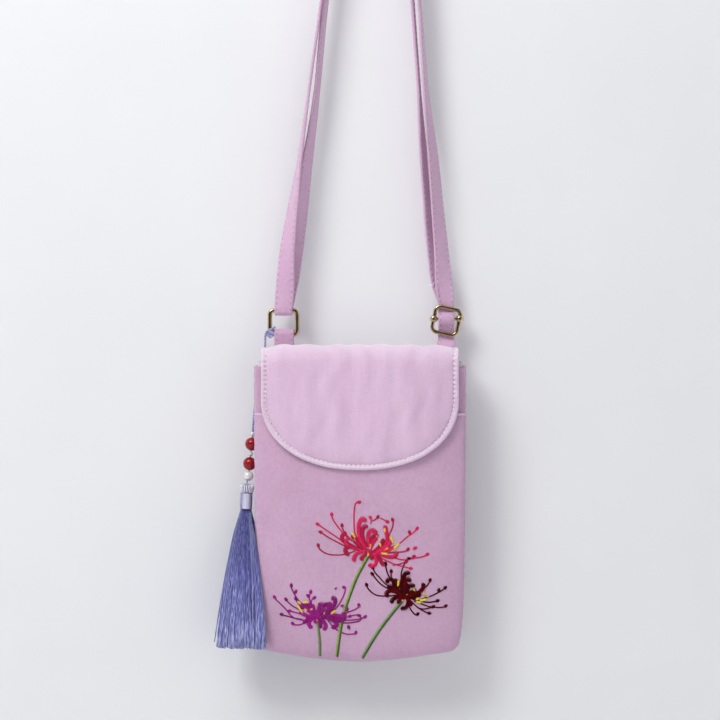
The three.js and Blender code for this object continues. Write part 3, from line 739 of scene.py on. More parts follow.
def cloth_swell(across, along, lay, sewn, outward, cap):
    """A function of u and v: how far the panel swells outwards. sewn(u, v) says where it is held."""
    panel = laid_grid("trial_panel", across, along, lay)
    rest = places_of(panel)
    steps = np.meshgrid(np.linspace(0, 1, across + 1), np.linspace(0, 1, along + 1))
    grid_u, grid_v = (axis.ravel() for axis in steps)
    normal = form_normal(lay, grid_u, grid_v, outward)
    if outward < 0:
        in_edit(panel, bpy.ops.mesh.flip_normals)
    held = panel.vertex_groups.new(name="sewn")
    held.add([int(i) for i in np.flatnonzero(sewn(grid_u, grid_v))], 1.0, "REPLACE")
    modifier = panel.modifiers.new("Cloth", "CLOTH")
    settings = modifier.settings
    settings.quality = SIM_QUALITY
    settings.mass = SIM_MASS
    settings.tension_stiffness = settings.compression_stiffness = SIM_STRETCH
    settings.shear_stiffness = SIM_SHEAR
    settings.use_pressure = True
    settings.uniform_pressure_force = SIM_PRESSURE
    settings.vertex_group_mass = "sewn"
    settings.effector_weights.gravity = 0
    modifier.collision_settings.use_collision = False
    for step in range(1, SIM_FRAMES + 1):
        bpy.context.scene.frame_set(step)
    pick(panel)
    bpy.ops.object.modifier_apply(modifier=modifier.name)
    moved = ((places_of(panel) - rest) * normal).sum(axis=1)
    bpy.data.objects.remove(panel, do_unlink=True)
    bpy.context.scene.frame_set(1)
    swell = np.clip(moved, 0, None)
    swell = swell * min(1.0, cap / max(0.001 * MM, float(swell.max())))
    table = swell.reshape(along + 1, across + 1)

    def swell_at(u, v):
        x, y = np.clip(u, 0, 1) * across, np.clip(v, 0, 1) * along
        i, j = np.clip(x.astype(int), 0, across - 1), np.clip(y.astype(int), 0, along - 1)
        a, b = x - i, y - j
        low = table[j, i] * (1 - a) + table[j, i + 1] * a
        return low * (1 - b) + (table[j + 1, i] * (1 - a) + table[j + 1, i + 1] * a) * b

    return swell_at


# A padded sheet: two faces either side of a middle form, closed all round its edge.
def padded_sheet(name, across, along, lay, thick, size, outward=1):
    """lay(u, v) gives the form and thick(u, v, points) its two offsets, outer then inner."""
    faces = []
    for side in (0, 1):
        def one_face(u, v, side=side):
            points = lay(u, v)
            return points + form_normal(lay, u, v, outward) * thick(u, v, points)[side][:, None]
        faces.append(laid_grid(f"{name}_{side}", across, along, one_face, size))
    return joined(name, faces)


# The front slip pocket, from the seams up to its hem.
POCKET_TURN = math.radians(19)
POCKET_SWELL = 1.1 * MM
UNDER_FLAP = 0.75
POCKET_LOW = 0.004
POCKET_EDGE = 0.8 * MM
POCKET_EASE = 20 * MM
POCKET_TAPER_SIDE, POCKET_TAPER_LOW = 9 * MM, 5 * MM
POCKET_WAVES = [(11, 60 * MM, 0.5 * MM), (12, 24 * MM, 0.12 * MM)]
HEM_FOLD = 7 * MM
HEM_LIFT = 0.25 * MM
HEM_GROOVE = {"above": 1 * MM, "width": 0.9 * MM, "deep": 0.35 * MM}
HEM_ROLL = 0.75 * MM
HEM_STITCH_LOW = 4.2 * MM
COVER_FADE = 12 * MM
SEWN_SHARE = 0.03


def pocket_form(u, v):
    angle = math.pi + POCKET_TURN + u * (math.pi - 2 * POCKET_TURN)
    up = POCKET_LOW + v * (HEM_SHARE - POCKET_LOW)
    return bag_point(up, angle, GAP + POCKET_WALL / 2)


def pocket_thick(u, v, points):
    """How far the pocket's outer and inner faces lie from its middle form."""
    side = np.minimum(u, 1 - u) * math.pi * BAG_HALF * 0.8
    low = v * (HEM_SHARE - POCKET_LOW) * BAG_HEIGHT
    top = (1 - v) * (HEM_SHARE - POCKET_LOW) * BAG_HEIGHT
    taper = reached(side, POCKET_TAPER_SIDE) ** 0.7 * reached(low, POCKET_TAPER_LOW) ** 0.5
    rounded = rounded_edge(np.minimum(side, np.minimum(low, top)), POCKET_EDGE)
    half = POCKET_WALL / 2 * (0.35 + 0.65 * taper)
    outer = half + (top < HEM_FOLD) * HEM_LIFT
    groove = bell(top - (HEM_FOLD - HEM_GROOVE["above"]), HEM_GROOVE["width"]) * HEM_GROOVE["deep"]
    inset = reached(side, POCKET_EASE) * reached(low, POCKET_EASE) * reached(top, POCKET_EASE)
    covered = reached(points[:, 2] - FLAP_TIP, COVER_FADE)
    swell = pocket_swell(u, v) * (1 - (1 - UNDER_FLAP) * covered)
    lift = waved(points, POCKET_WAVES) * inset * 0.5 + swell
    return (outer - groove + lift) * rounded, (lift - half) * rounded


def pocket_sewn(u, v):
    return (u < SEWN_SHARE) | (u > 1 - SEWN_SHARE) | (v < SEWN_SHARE)


def make_pocket():
    steps = np.linspace(0, 1, 200)
    half = np.full(len(steps), 0.5)
    wide = run_of(pocket_form(steps, half))[-1]
    tall = run_of(pocket_form(half, steps))[-1]
    piece = padded_sheet("slip_pocket", 170, 180, pocket_form, pocket_thick, (wide, tall))
    return finish(piece, cotton, "lilac_cotton", "front_pocket")


# The flap, from its seam on the back, over the mouth and down the front to its round edge.
FLAP_GROW = GAP + POCKET_WALL + GAP + FLAP_EASE
CORNER_DROP = 0.22
CORNER_POWER = 10
STITCH_IN = 2.8 * MM
STITCH_PITCH = 2.7 * MM
FLAP_SWELL = 0.9 * MM
FLAP_EDGE = 1.3 * MM
PAD_FROM, PAD_OVER = 20 * MM, 18 * MM
FIELD_OVER = 7 * MM
FIELD_LEAST = 0.62
RIM_SHARE = 0.95
FLAP_GROOVE = {"width": 0.8 * MM, "least": 0.32, "hole": 0.42}
FLAP_PUCKER = {"reach": 3 * MM, "deep": 0.36 * MM}
FLAP_RIPPLE = {"half_pitch": 7.5 * MM, "wander": 34 * MM, "turn": 1.6, "deep": 0.38 * MM}
FLAP_WAVES = [(22, 50 * MM, 0.3 * MM), (23, 17 * MM, 0.1 * MM)]
FLAP_EASE_EDGE, FLAP_EASE_SEAM = 14 * MM, 20 * MM
# How far in from the stitch line the rim's paling runs: partly wear, partly painted highlight.
RIM_WEAR_AND_HIGHLIGHT_OVER = 1.6 * MM
FLAP_ROW_EASE = 1.35
# Where the painted highlight over the top fold lies along the flap, and how far it fades.
FOLD_RUN = 21 * MM
FOLD_FADE = 11 * MM
BACK_SEAM_IN = 2.6 * MM
BACK_SEAM_HELD = 6 * MM
ON_BORDER = 1e-6


def flap_line(x):
    """Places in Y and Z down one column of the flap's inner face."""
    share = (x - BAG_MIDDLE) / FLAP_HALF
    inner = pouch_high.y + GAP
    front = float(bag_front(np.array([x]), np.array([RIM]), FLAP_GROW)[0])
    rise = FLAP_TOP - RIM - FLAP_BACK_WALL
    fold = rise * (1 - CORNER_DROP * abs(share) ** CORNER_POWER)
    full = (1 - min(1, abs(share)) ** FLAP_ROUND) ** (1 / FLAP_ROUND)
    tip = FLAP_TIP + FLAP_CURVE * (1 - full)
    back = np.stack([np.full(20, inner), np.linspace(RIM - FLAP_SEAM, RIM, 20, endpoint=False)], -1)
    angle = np.linspace(0, math.pi, 60)
    roll = np.stack(
        [(inner + front) / 2 + (inner - front) / 2 * np.cos(angle), RIM + fold * np.sin(angle)], -1
    )
    down = np.linspace(RIM, tip, 120)[1:]
    face = np.stack([bag_front(np.full(len(down), x), down, FLAP_GROW), down], -1)
    line = np.concatenate([back, roll, face])
    return line, run_of(line)


FLAP_COLUMNS = 241
flap_shares = np.sin(np.linspace(-0.5, 0.5, FLAP_COLUMNS) * math.pi)
flap_xs = BAG_MIDDLE + flap_shares * FLAP_HALF
FLAP_ROWS = 400
flap_table = np.empty((FLAP_COLUMNS, FLAP_ROWS, 2))
flap_runs = np.empty(FLAP_COLUMNS)
for column_index, column_x in enumerate(flap_xs):
    line, run = flap_line(column_x)
    flap_table[column_index] = between(np.linspace(0, run[-1], FLAP_ROWS), run, line)
    flap_runs[column_index] = run[-1]
FLAP_LONG = float(flap_runs.max())


def flap_rows(v):
    """Rows lie closer together towards the flap's front edge."""
    return 1 - (1 - v) ** FLAP_ROW_EASE


def flap_form(u, v):
    """The flap's inner face, from the seam on the back to the round front edge."""
    place_u = u * (FLAP_COLUMNS - 1)
    place_v = flap_rows(v) * (FLAP_ROWS - 1)
    i = np.clip(place_u.astype(int), 0, FLAP_COLUMNS - 2)
    j = np.clip(place_v.astype(int), 0, FLAP_ROWS - 2)
    a, b = (place_u - i)[:, None], (place_v - j)[:, None]
    low = flap_table[i, j] * (1 - a) + flap_table[i + 1, j] * a
    high = flap_table[i, j + 1] * (1 - a) + flap_table[i + 1, j + 1] * a
    yz = low * (1 - b) + high * b
    x = BAG_MIDDLE + np.sin((u - 0.5) * math.pi) * FLAP_HALF
    return np.stack([x, yz[:, 0], yz[:, 1]], -1)


def flap_flat(u, v):
    """The flap laid flat: X across and the run along it."""
    place = u * (FLAP_COLUMNS - 1)
    run = np.interp(place, np.arange(FLAP_COLUMNS), flap_runs)
    return np.stack([np.sin((u - 0.5) * math.pi) * FLAP_HALF, flap_rows(v) * run], -1)


# The flap's free edge, down its left side, round its front and up its right side.
SIDE_STEPS = np.linspace(0.12, 1, 300)
FRONT_STEPS = np.linspace(0, 1, 700)
flap_edge = np.concatenate([
    flap_flat(np.zeros_like(SIDE_STEPS), SIDE_STEPS),
    flap_flat(FRONT_STEPS, np.ones_like(FRONT_STEPS)),
    flap_flat(np.ones_like(SIDE_STEPS), SIDE_STEPS[::-1]),
])
flap_edge_run = run_of(flap_edge)
EDGE_BATCH = 4000


def flap_to_edge(flat):
    """How far each flat point lies from the flap's edge, and how far along the edge."""
    far = np.empty(len(flat))
    along = np.empty(len(flat))
    for start in range(0, len(flat), EDGE_BATCH):
        batch = slice(start, start + EDGE_BATCH)
        distance = np.linalg.norm(flat[batch][:, None] - flap_edge[None], axis=2)
        nearest = distance.argmin(axis=1)
        far[batch] = distance.min(axis=1)
        along[batch] = flap_edge_run[nearest]
    return far, along


def flap_thick(u, v, points):
    """How far the flap's outer and inner faces lie from its form."""
    flat = flap_flat(u, v)
    far, along = flap_to_edge(flat)
    seam = flat[:, 1]
    rounded = rounded_edge(np.minimum(far, seam), FLAP_EDGE)
    border = (np.minimum(u, v) < ON_BORDER) | (np.maximum(u, v) > 1 - ON_BORDER)
    rounded = np.where(border, 0, rounded)
    wall = FLAP_BACK_WALL + (FLAP_PAD - FLAP_BACK_WALL) * reached(seam - PAD_FROM, PAD_OVER)
    field = np.sin(reached(far - STITCH_IN, FIELD_OVER) * math.pi / 2)
    swell = np.where(far < STITCH_IN, RIM_SHARE, FIELD_LEAST + (1 - FIELD_LEAST) * field)
    hole = needle_share(along, STITCH_PITCH)
    deep = FLAP_GROOVE["least"] + FLAP_GROOVE["hole"] * hole**2
    groove = bell(far - STITCH_IN, FLAP_GROOVE["width"]) * deep * MM
    pucker = np.exp(-np.abs(far - STITCH_IN) / FLAP_PUCKER["reach"]) * (hole - 0.5) * FLAP_PUCKER["deep"]
    phase = soft_waves(points, 21, FLAP_RIPPLE["wander"]) * FLAP_RIPPLE["turn"]
    ripple = np.sin(points[:, 0] / FLAP_RIPPLE["half_pitch"] * math.pi + phase) * FLAP_RIPPLE["deep"]
    inset = reached(far, FLAP_EASE_EDGE) * reached(seam, FLAP_EASE_SEAM)
    waves = (ripple + waved(points, FLAP_WAVES)) * inset
    outer = wall * swell - groove - pucker + waves + flap_swell(u, v)
    return outer * rounded, np.zeros(len(u))


def flap_sewn(u, v):
    flat = flap_flat(u, v)
    return (flap_to_edge(flat)[0] < STITCH_IN + 1 * MM) | (flat[:, 1] < BACK_SEAM_HELD)


def flap_wear_and_highlight(piece):
    """A value for each point: how far the cloth is paled along the rim, partly wear and partly a painted
    highlight that grows towards the bottom and at the needle holes, and over the top fold, where the paling
    is a painted highlight.
    """
    size = np.array([2 * FLAP_HALF, FLAP_LONG])
    mesh = piece.data
    corner_uv = np.empty(len(mesh.loops) * 2)
    mesh.uv_layers["cloth"].data.foreach_get("uv", corner_uv)
    corner = np.empty(len(mesh.loops), int)
    mesh.loops.foreach_get("vertex_index", corner)
    uv = np.zeros((len(mesh.vertices), 2))
    uv[corner] = corner_uv.reshape(-1, 2) / size
    flat = flap_flat(uv[:, 0], uv[:, 1])
    far, along = flap_to_edge(flat)
    # The rim's paling: partly wear, partly a painted highlight, stronger towards the bottom and at the
    # needle holes.
    rim = 1 - reached(far - STITCH_IN * 0.9, RIM_WEAR_AND_HIGHLIGHT_OVER)
    stitch = needle_share(along, STITCH_PITCH)
    # Painted highlight over the top fold, where the light from above falls.
    fold = bell(flat[:, 1] - FOLD_RUN, FOLD_FADE)
    low = reached(flat[:, 1], FLAP_LONG) ** 3
    wear_and_highlight = np.clip(rim * (0.22 + 0.45 * low) * (0.7 + 0.3 * stitch) + 0.95 * fold, 0, 1)
    layer = mesh.attributes.new("wear_and_highlight", "FLOAT", "POINT")
    layer.data.foreach_set("value", wear_and_highlight)


def make_flap():
    flat = (2 * FLAP_HALF, FLAP_LONG)
    piece = padded_sheet("padded_flap", 190, 200, flap_form, flap_thick, flat, -1)
    flap_wear_and_highlight(piece)
    return finish(piece, lit_flap_cotton, "lilac_cotton", "flap")


# Bands: the strap and the ring's tab. Their stops are in millimetres from the bag's middle.
NO_GAP = 1e-9
FINE = 24


def centripetal(stops, fine):
    """Points on the smooth curve through the stops, fine steps from each stop to the next."""
    stops = np.asarray(stops, float)
    ends = np.concatenate([2 * stops[:1] - stops[1:2], stops, 2 * stops[-1:] - stops[-2:-1]])
    t = np.arange(fine)[:, None] / fine
    parts = []
    for i in range(1, len(ends) - 2):
        p0, p1, p2, p3 = ends[i - 1 : i + 3]
        gaps = ((p0, p1), (p1, p2), (p2, p3))
        d0, d1, d2 = (math.sqrt(np.linalg.norm(b - a)) + NO_GAP for a, b in gaps)
        m1 = d1 * ((p1 - p0) / d0 - (p2 - p0) / (d0 + d1) + (p2 - p1) / d1)
        m2 = d1 * ((p2 - p1) / d1 - (p3 - p1) / (d1 + d2) + (p3 - p2) / d2)
        bend = 3 * (p2 - p1) - 2 * m1 - m2
        parts.append(p1 + m1 * t + bend * t**2 + (2 * (p1 - p2) + m1 + m2) * t**3)
    return np.concatenate(parts + [stops[-1:]])


def evenly(stops, spacing):
    """Points on the smooth curve through the stops, spaced evenly."""
    fine = centripetal(stops, FINE)
    run = run_of(fine)
    return between(np.linspace(0, run[-1], max(2, int(run[-1] / spacing)) + 1), run, fine)


ROW_LENGTH = 1.05 * MM
ROW_BEND = math.radians(9)


def band_table(stops, size):
    """Rows along a band: place, lay of its width, outward normal, half width, half thickness, run."""
    stops = np.asarray(stops, float)
    place = centripetal(stops[:, :3], FINE) * MM
    place[:, 0] += BAG_MIDDLE
    share = np.arange(len(place)) / FINE
    turn = np.radians(np.interp(share, np.arange(len(stops)), stops[:, 3]))
    nip = np.interp(share, np.arange(len(stops)), stops[:, 4])
    run = run_of(place)
    way = unit(np.gradient(place, axis=0))
    bend = np.concatenate([[0], np.cumsum(np.arccos(np.clip((way[:-1] * way[1:]).sum(1), -1, 1)))])
    measure = run / ROW_LENGTH + bend / ROW_BEND
    at = np.linspace(0, measure[-1], int(measure[-1]) + 1)
    table = {"run": np.interp(at, measure, run), "nip": np.interp(at, measure, nip)}
    table["place"] = between(at, measure, place)
    way = unit(between(at, measure, way))
    turn = np.interp(at, measure, turn)
    table["lay"] = np.stack([np.cos(turn), np.sin(turn), np.zeros(len(turn))], -1)
    out = np.cross(way, table["lay"])
    skew = np.linalg.norm(out, axis=1)
    table["out"] = out / skew[:, None]
    wide = size["width"] + (size["nip_width"] - size["width"]) * table["nip"]
    thick = size["thickness"] + (size["nip_thickness"] - size["thickness"]) * table["nip"]
    table["half"] = wide / 2 / skew * MM
    table["thick"] = thick / 2 * MM
    return table


BAND_STITCH_IN = 1.4 * MM
BAND_STITCH_PITCH = 3.5 * MM
BAND_EDGE = 0.6 * MM
BAND_PILLOW = 0.1 * MM
BAND_SEAM_IN = 0.05 * MM
BAND_GROOVE = {"width": 0.55 * MM, "least": 0.12, "hole": 0.2}
SLOW_WANDER = {"pitch": 19 * MM, "share": 0.02}
QUICK_WANDER = {"pitch": 7.3 * MM, "share": 0.012}


def band_point(table, row, across, side, lift=0.0):
    """A place on a band: row is a place along it, across runs from -1 to 1 and side is 1 or -1."""
    index = np.arange(len(table["run"]))

    def at(key):
        column = table[key]
        return np.interp(row, index, column) if column.ndim == 1 else between(row, index, column)

    half, thick, run, loose = at("half"), at("thick"), at("run"), 1 - at("nip")
    edge = (1 - np.abs(across)) * half
    near_end = reached(np.minimum(run, table["run"][-1] - run), BAND_EDGE)
    hole = needle_share(run, BAND_STITCH_PITCH)
    deep = BAND_GROOVE["least"] + BAND_GROOVE["hole"] * hole**2
    groove = bell(edge - BAND_STITCH_IN, BAND_GROOVE["width"]) * deep * MM
    pillow = BAND_PILLOW * (1 - across**2) * loose
    height = thick - groove * (0.4 + 0.6 * loose) + pillow - BAND_SEAM_IN
    height = height * rounded_edge(edge, BAND_EDGE) * np.sqrt(near_end)
    slow = SLOW_WANDER["share"] * np.sin(run / SLOW_WANDER["pitch"])
    quick = QUICK_WANDER["share"] * np.sin(run / QUICK_WANDER["pitch"] + across)
    wander = 1 + slow * loose + quick * loose
    spread = (across * half * wander)[..., None] * at("lay")
    return at("place") + spread + ((height + lift) * side)[..., None] * at("out")


def band_piece(name, table, across):
    """A band's two faces, closed along its edges and its ends."""
    rows = len(table["run"])
    size = (2 * table["half"].max(), table["run"][-1])
    faces = []
    for side in (1, -1):
        def lay(u, v, side=side):
            spread = np.sin((u - 0.5) * math.pi) * 0.35 + (2 * u - 1) * 0.65
            return band_point(table, v * (rows - 1), spread, side)
        faces.append(laid_grid(f"{name}_{side}", across, rows - 1, lay, size))
    return joined(name, faces)


STITCH_ALONG = np.array([-0.4, -0.2, 0, 0.2, 0.4])
STITCH_LIFT = np.array([-0.3, 0.08, 0.16, 0.08, -0.3]) * MM
BAND_THREAD = 0.25 * MM
HOLE_RADIUS = 0.42 * MM
HOLE_DEEP, HOLE_SHOWN = 0.26 * MM, 0.14 * MM


def band_stitches(name, table):
    """Two rows of topstitching on each face of a band."""
    total = table["run"][-1]
    middles = np.arange(0.8, total / BAND_STITCH_PITCH - 0.8) * BAND_STITCH_PITCH + BAND_STITCH_PITCH / 2
    runs = middles[:, None] + STITCH_ALONG * BAND_STITCH_PITCH
    row = np.interp(runs, table["run"], np.arange(len(table["run"])))
    half = np.interp(row, np.arange(len(table["half"])), table["half"])
    paths = []
    for side in (1, -1):
        for edge in (1, -1):
            across = edge * (1 - BAND_STITCH_IN / half)
            paths.append(band_point(table, row, across, side, np.broadcast_to(STITCH_LIFT, row.shape)))
    paths = np.concatenate(paths)
    finish(threads(name, paths, BAND_THREAD, 4), lilac_thread, "lilac_strap")
    return needle_holes(name + "_holes", paths, "lilac_strap")


def needle_holes(name, paths, slot):
    """Small holes at both ends of every stitch, near black as painted shade inside them."""
    paths = np.asarray(paths)
    ends = np.concatenate([paths[:, 0], paths[:, -1]])
    inner = np.concatenate([paths[:, 0] - paths[:, 1], paths[:, -1] - paths[:, -2]])
    dips = np.stack([ends - unit(inner) * HOLE_DEEP, ends + unit(inner) * HOLE_SHOWN], 1)
    # The near-black finish paints the shade inside each hole.
    return finish(threads(name, dips, HOLE_RADIUS, 6), hole_shade, slot)


# Places of the hanging parts, in millimetres as the strap's stops are.
PEG_RADIUS = 12.5
PEG_OFFSET = 9.4
STRAP = {"width": 12, "nip_width": 9.4, "thickness": 1.6, "nip_thickness": 1.1}
LAYER_GAP = 0.5
STRAP_SEWN = 27
TAB = {"width": 11.4, "nip_width": 11.4, "thickness": 1.6, "nip_thickness": 1.6}
TAB_SEWN = 27
RING = {"width": 19, "height": 17, "wire": 2.8, "corner": 2.6}
SLIDER = {"width": 17.5, "height": 17.8, "wire": 2.4, "corner": 3.2, "tilt": 12}
BAR_RADIUS = 1
BAR_EYE_WALL = 0.8
BAR_RISE = 1.2
BORE_LENGTH = 12
FIT = 0.3
FLAP_TOP_LEVEL = -341.0
FLAP_BACK_FACE = -2.05
RING_TOP = -319.8
RING_BOTTOM = RING_TOP - (RING["height"] - RING["wire"])
TAB_OUT = 45
RING_OUT = 45.4
SLIDER_OUT = 51.2
SLIDER_LEVEL = -326
BAR_LEVEL = SLIDER_LEVEL + BAR_RISE
NIP_HALF = STRAP["nip_thickness"] / 2
BAND_HALF = STRAP["thickness"] / 2
BEHIND_FRAME = SLIDER["wire"] / 2 + FIT + NIP_HALF
SLIDER_SIDE = (SLIDER["width"] - SLIDER["wire"]) / 2
SLIDER_END = (SLIDER["height"] - SLIDER["wire"]) / 2

# Each hanging run of the strap, in rows of four: how far down as a share of its drop, its drift to the
# right and its swing to the back as shares of the width, and how far it has turned from facing front.
RUNS = {
    "right_front": [
        (0.03, -0.02, 0, 88), (0.2, 0, 0, 86), (0.41, -0.02, 0, 85), (0.59, -0.09, 0, 77),
        (0.7, -0.03, -0.03, 62), (0.8, -0.02, -0.08, 54), (0.89, -0.02, -0.12, 44), (0.96, -0.03, -0.08, 27),
    ],
    "left_front": [
        (0.03, 0.02, 0, 88), (0.2, -0.03, 0, 88), (0.41, -0.09, 0, 88), (0.59, -0.14, 0, 87),
        (0.72, -0.15, 0, 80), (0.81, -0.19, 0, 60), (0.88, -0.19, 0, 42), (0.96, -0.06, 0, 18),
    ],
    "left_back": [
        (0.03, -0.02, 0, 88), (0.2, 0.01, 0, 80), (0.41, 0.02, 0, 78), (0.57, 0.18, 0.02, 80),
        (0.65, 0.2, 0.04, 72), (0.72, 0.17, 0.05, 60), (0.8, 0.16, 0.05, 45), (0.87, 0.13, 0.03, 30),
        (0.94, 0.06, 0, 14),
    ],
    "right_back": [
        (0.03, 0.02, 0, 88), (0.2, -0.14, 0, 82), (0.41, -0.26, 0, 84), (0.59, -0.36, 0.03, 83),
        (0.7, -0.42, 0.07, 70), (0.8, -0.41, 0.1, 62), (0.89, -0.34, 0.14, 46), (0.96, -0.18, 0.14, 22),
    ],
}


def run_stops(name, high, low, turn_of):
    """Stops down one hanging run, from its place at the peg to its place below."""
    stops = []
    for down, drift, swing, turn in RUNS[name]:
        x, y, z = (a + (b - a) * down for a, b in zip(high, low))
        stops.append((x + drift * STRAP["width"], y + swing * STRAP["width"], z, turn_of(turn), 0))
    return stops


def peg_place(radius, angle):
    return PEG_OFFSET + radius * math.cos(angle), 0, radius * math.sin(angle) - PEG_RADIUS


def peg_stops(radius, start, end, turn):
    """Stops round the peg, from one angle to another."""
    return [(*peg_place(radius, angle), turn, 0) for angle in np.radians(np.linspace(start, end, 7))]


def strap_stops():
    """The strap's stops: x, y, z, turn and how far it is nipped, from its sewn end to its last end."""
    x = SLIDER_OUT
    lean = math.sin(math.radians(SLIDER["tilt"])) * STRAP["nip_width"] / 2
    clear = SLIDER["wire"] / 2 + NIP_HALF
    upper, lower = SLIDER_LEVEL + SLIDER_END, SLIDER_LEVEL - SLIDER_END
    wrap = BAR_RADIUS + FIT + NIP_HALF
    over_wrap = wrap + 2 * NIP_HALF + FIT
    inner = PEG_RADIUS + BAND_HALF
    outer = inner + STRAP["thickness"] + LAYER_GAP
    nip_start = upper + lean + clear
    back_depth = BEHIND_FRAME + 2 * NIP_HALF + FIT
    ring_around = RING["wire"] / 2 + FIT + BAND_HALF
    sewn = FLAP_BACK_FACE + FIT + BAND_HALF

    def around(angle, reach, turn):
        a = math.radians(angle)
        return (x, -reach * math.cos(a), BAR_LEVEL + reach * math.sin(a), turn, 1)

    def ring_stop(angle):
        a = math.radians(angle)
        return (-RING_OUT, -ring_around * math.cos(a), RING_TOP - ring_around * math.sin(a), 180, 0.5)

    low_stops = [
        (x, sewn, FLAP_TOP_LEVEL - STRAP_SEWN, 0, 0),
        (x, sewn, FLAP_TOP_LEVEL - 4, 0, 0),
        (x, sewn + 1, FLAP_TOP_LEVEL + 1, 0, 0.4),
        (x, BEHIND_FRAME, lower - lean - clear, 0, 0.9),
        (x, BEHIND_FRAME, lower + lean, 0, 1),
        (x, 0.1, lower + lean + clear + FIT + 1.4, 0, 1),
        *[around(angle, over_wrap, 0) for angle in (-45, -15, 15, 45, 80)],
        (x, BEHIND_FRAME * 0.6, upper - lean - clear - 0.3, 0, 1),
        (x, BEHIND_FRAME, upper - lean - 0.6, 0, 1),
        (x, BEHIND_FRAME, nip_start, 2, 1),
    ]
    peg_right = lambda radius: (PEG_OFFSET + radius, 0, -PEG_RADIUS)
    peg_left = lambda radius: (PEG_OFFSET - radius, 0, -PEG_RADIUS)
    front_low = (x, BEHIND_FRAME, nip_start)
    front_ring = (-RING_OUT, -ring_around, RING_TOP)
    back_ring = (-RING_OUT, ring_around, RING_TOP)
    back_low = (x, back_depth, nip_start)
    return [
        *low_stops,
        *run_stops("right_front", peg_right(outer), front_low, lambda turn: turn)[::-1],
        *peg_stops(outer, 0, 180, 90),
        *run_stops("left_front", peg_left(outer), front_ring, lambda turn: 180 - turn),
        *[ring_stop(angle) for angle in range(0, 181, 30)],
        *run_stops("left_back", peg_left(inner), back_ring, lambda turn: 180 + turn)[::-1],
        *peg_stops(inner, 180, 0, 270),
        *run_stops("right_back", peg_right(inner), back_low, lambda turn: 180 + turn),
        (x, back_depth, nip_start, 182, 1),
        (x, back_depth, upper - lean - 0.6, 180, 1),
        around(180 - 32, wrap + 0.35, 180),
        *[around(angle, wrap, 180) for angle in (180, 215, 250, 285, 320, 355, 390, 430)],
    ]


def tab_stops():
    around = RING["wire"] / 2 + FIT + TAB["thickness"] / 2
    layer = (TAB["thickness"] + FIT) / 2
    foot, meet = FLAP_TOP_LEVEL - TAB_SEWN, FLAP_TOP_LEVEL - 1

    def leg(side):
        return [(-TAB_OUT, side * layer, z, 0, 0) for z in (foot, meet - 8, meet)]

    arc = []
    for angle in range(-20, 201, 22):
        a = math.radians(angle)
        arc.append((-TAB_OUT, -around * math.cos(a), RING_BOTTOM + around * math.sin(a), 0, 0))
    return leg(-1) + arc + leg(1)[::-1]


def make_strap():
    table = band_table(strap_stops(), STRAP)
    piece = finish(band_piece("strap_band", table, 16), strap_cotton, "lilac_strap", "strap")
    band_stitches("strap_stitches", table)
    return piece


def make_tab():
    table = band_table(tab_stops(), TAB)
    piece = finish(band_piece("tab_loop", table, 18), strap_cotton, "lilac_strap", "ring_tab")
    band_stitches("tab_stitches", table)


# The loose thread end's left and right ends in the photo, across and down in pixels.
THREAD_END_LEFT = (428.6, 286)
THREAD_END_RIGHT = (434.2, 286)
THREAD_END_RADIUS = 0.4 * MM
THREAD_END_BEND = np.array([-1.2, -0.5, 0.2]) * MM
THREAD_END_STEP = 0.3 * MM
PLY_RISE = 0.6 * MM
IN_FRONT = -0.2


def make_thread_end(strap):
    """The white end of a thread that stands out from the strap's back band."""
    left, level = photo_place(*THREAD_END_LEFT)
    right = photo_place(*THREAD_END_RIGHT)[0]
    root = tree_of(strap).ray_cast(Vector((right, IN_FRONT, level)), Vector((0, 1, 0)))[0]
    depth = root.y if root else 0.0
    base = np.array([right, depth, level])
    stops = np.array([base, base + THREAD_END_BEND, (left, depth, level)])
    paths = [evenly(stops + [0, 0, rise], THREAD_END_STEP) for rise in (0, PLY_RISE)]
    steps = min(len(path) for path in paths)
    piece = threads("thread_end", [path[:steps] for path in paths], THREAD_END_RADIUS, 6)
    return finish(piece, white_thread, "lilac_strap")


# Metal parts.
CORNER_STEPS = 13


def wire_loop(name, size, middle, tilt=0.0):
    """A round wire bent to a rectangle with round corners."""
    wide = ((size["width"] - size["wire"]) / 2 - size["corner"]) * MM
    high = ((size["height"] - size["wire"]) / 2 - size["corner"]) * MM
    corner, wire_half = size["corner"] * MM, size["wire"] / 2 * MM
    steps = 4 * CORNER_STEPS
    angles = np.concatenate([np.linspace(q, q + 1, CORNER_STEPS) for q in range(4)]) * math.pi / 2
    quarter = np.repeat(np.arange(4), CORNER_STEPS)
    side_x = np.where((quarter == 0) | (quarter == 3), 1, -1)
    side_z = np.where(quarter < 2, 1, -1)
    away = np.stack([np.cos(angles), np.zeros(steps), np.sin(angles)], -1)
    path = np.stack([side_x * wide, np.zeros(steps), side_z * high], -1) + away * corner
    path, away = np.concatenate([path, path[:1]]), np.concatenate([away, away[:1]])
    lean = Matrix.Rotation(math.radians(tilt), 3, "Y")

    def lay(u, v):
        row, index = v * steps, np.arange(steps + 1)
        turn = u * 2 * math.pi
        points = between(row, index, path) + between(row, index, away) * (wire_half * np.cos(turn))[:, None]
        points[:, 1] += wire_half * np.sin(turn)
        return points @ np.array(lean).T + np.array(middle) * MM + [BAG_MIDDLE, 0, 0]

    return laid_grid(name, 20, 2 * steps, lay, closed=True)


def add_solid(kind, **settings):
    clear_selection()
    getattr(bpy.ops.mesh, f"primitive_{kind}_add")(**settings)
    return bpy.context.object


def cut_with(piece, tool, operation):
    apply_modifier(piece, "BOOLEAN", object=tool, operation=operation, solver="EXACT")
    bpy.data.objects.remove(tool, do_unlink=True)


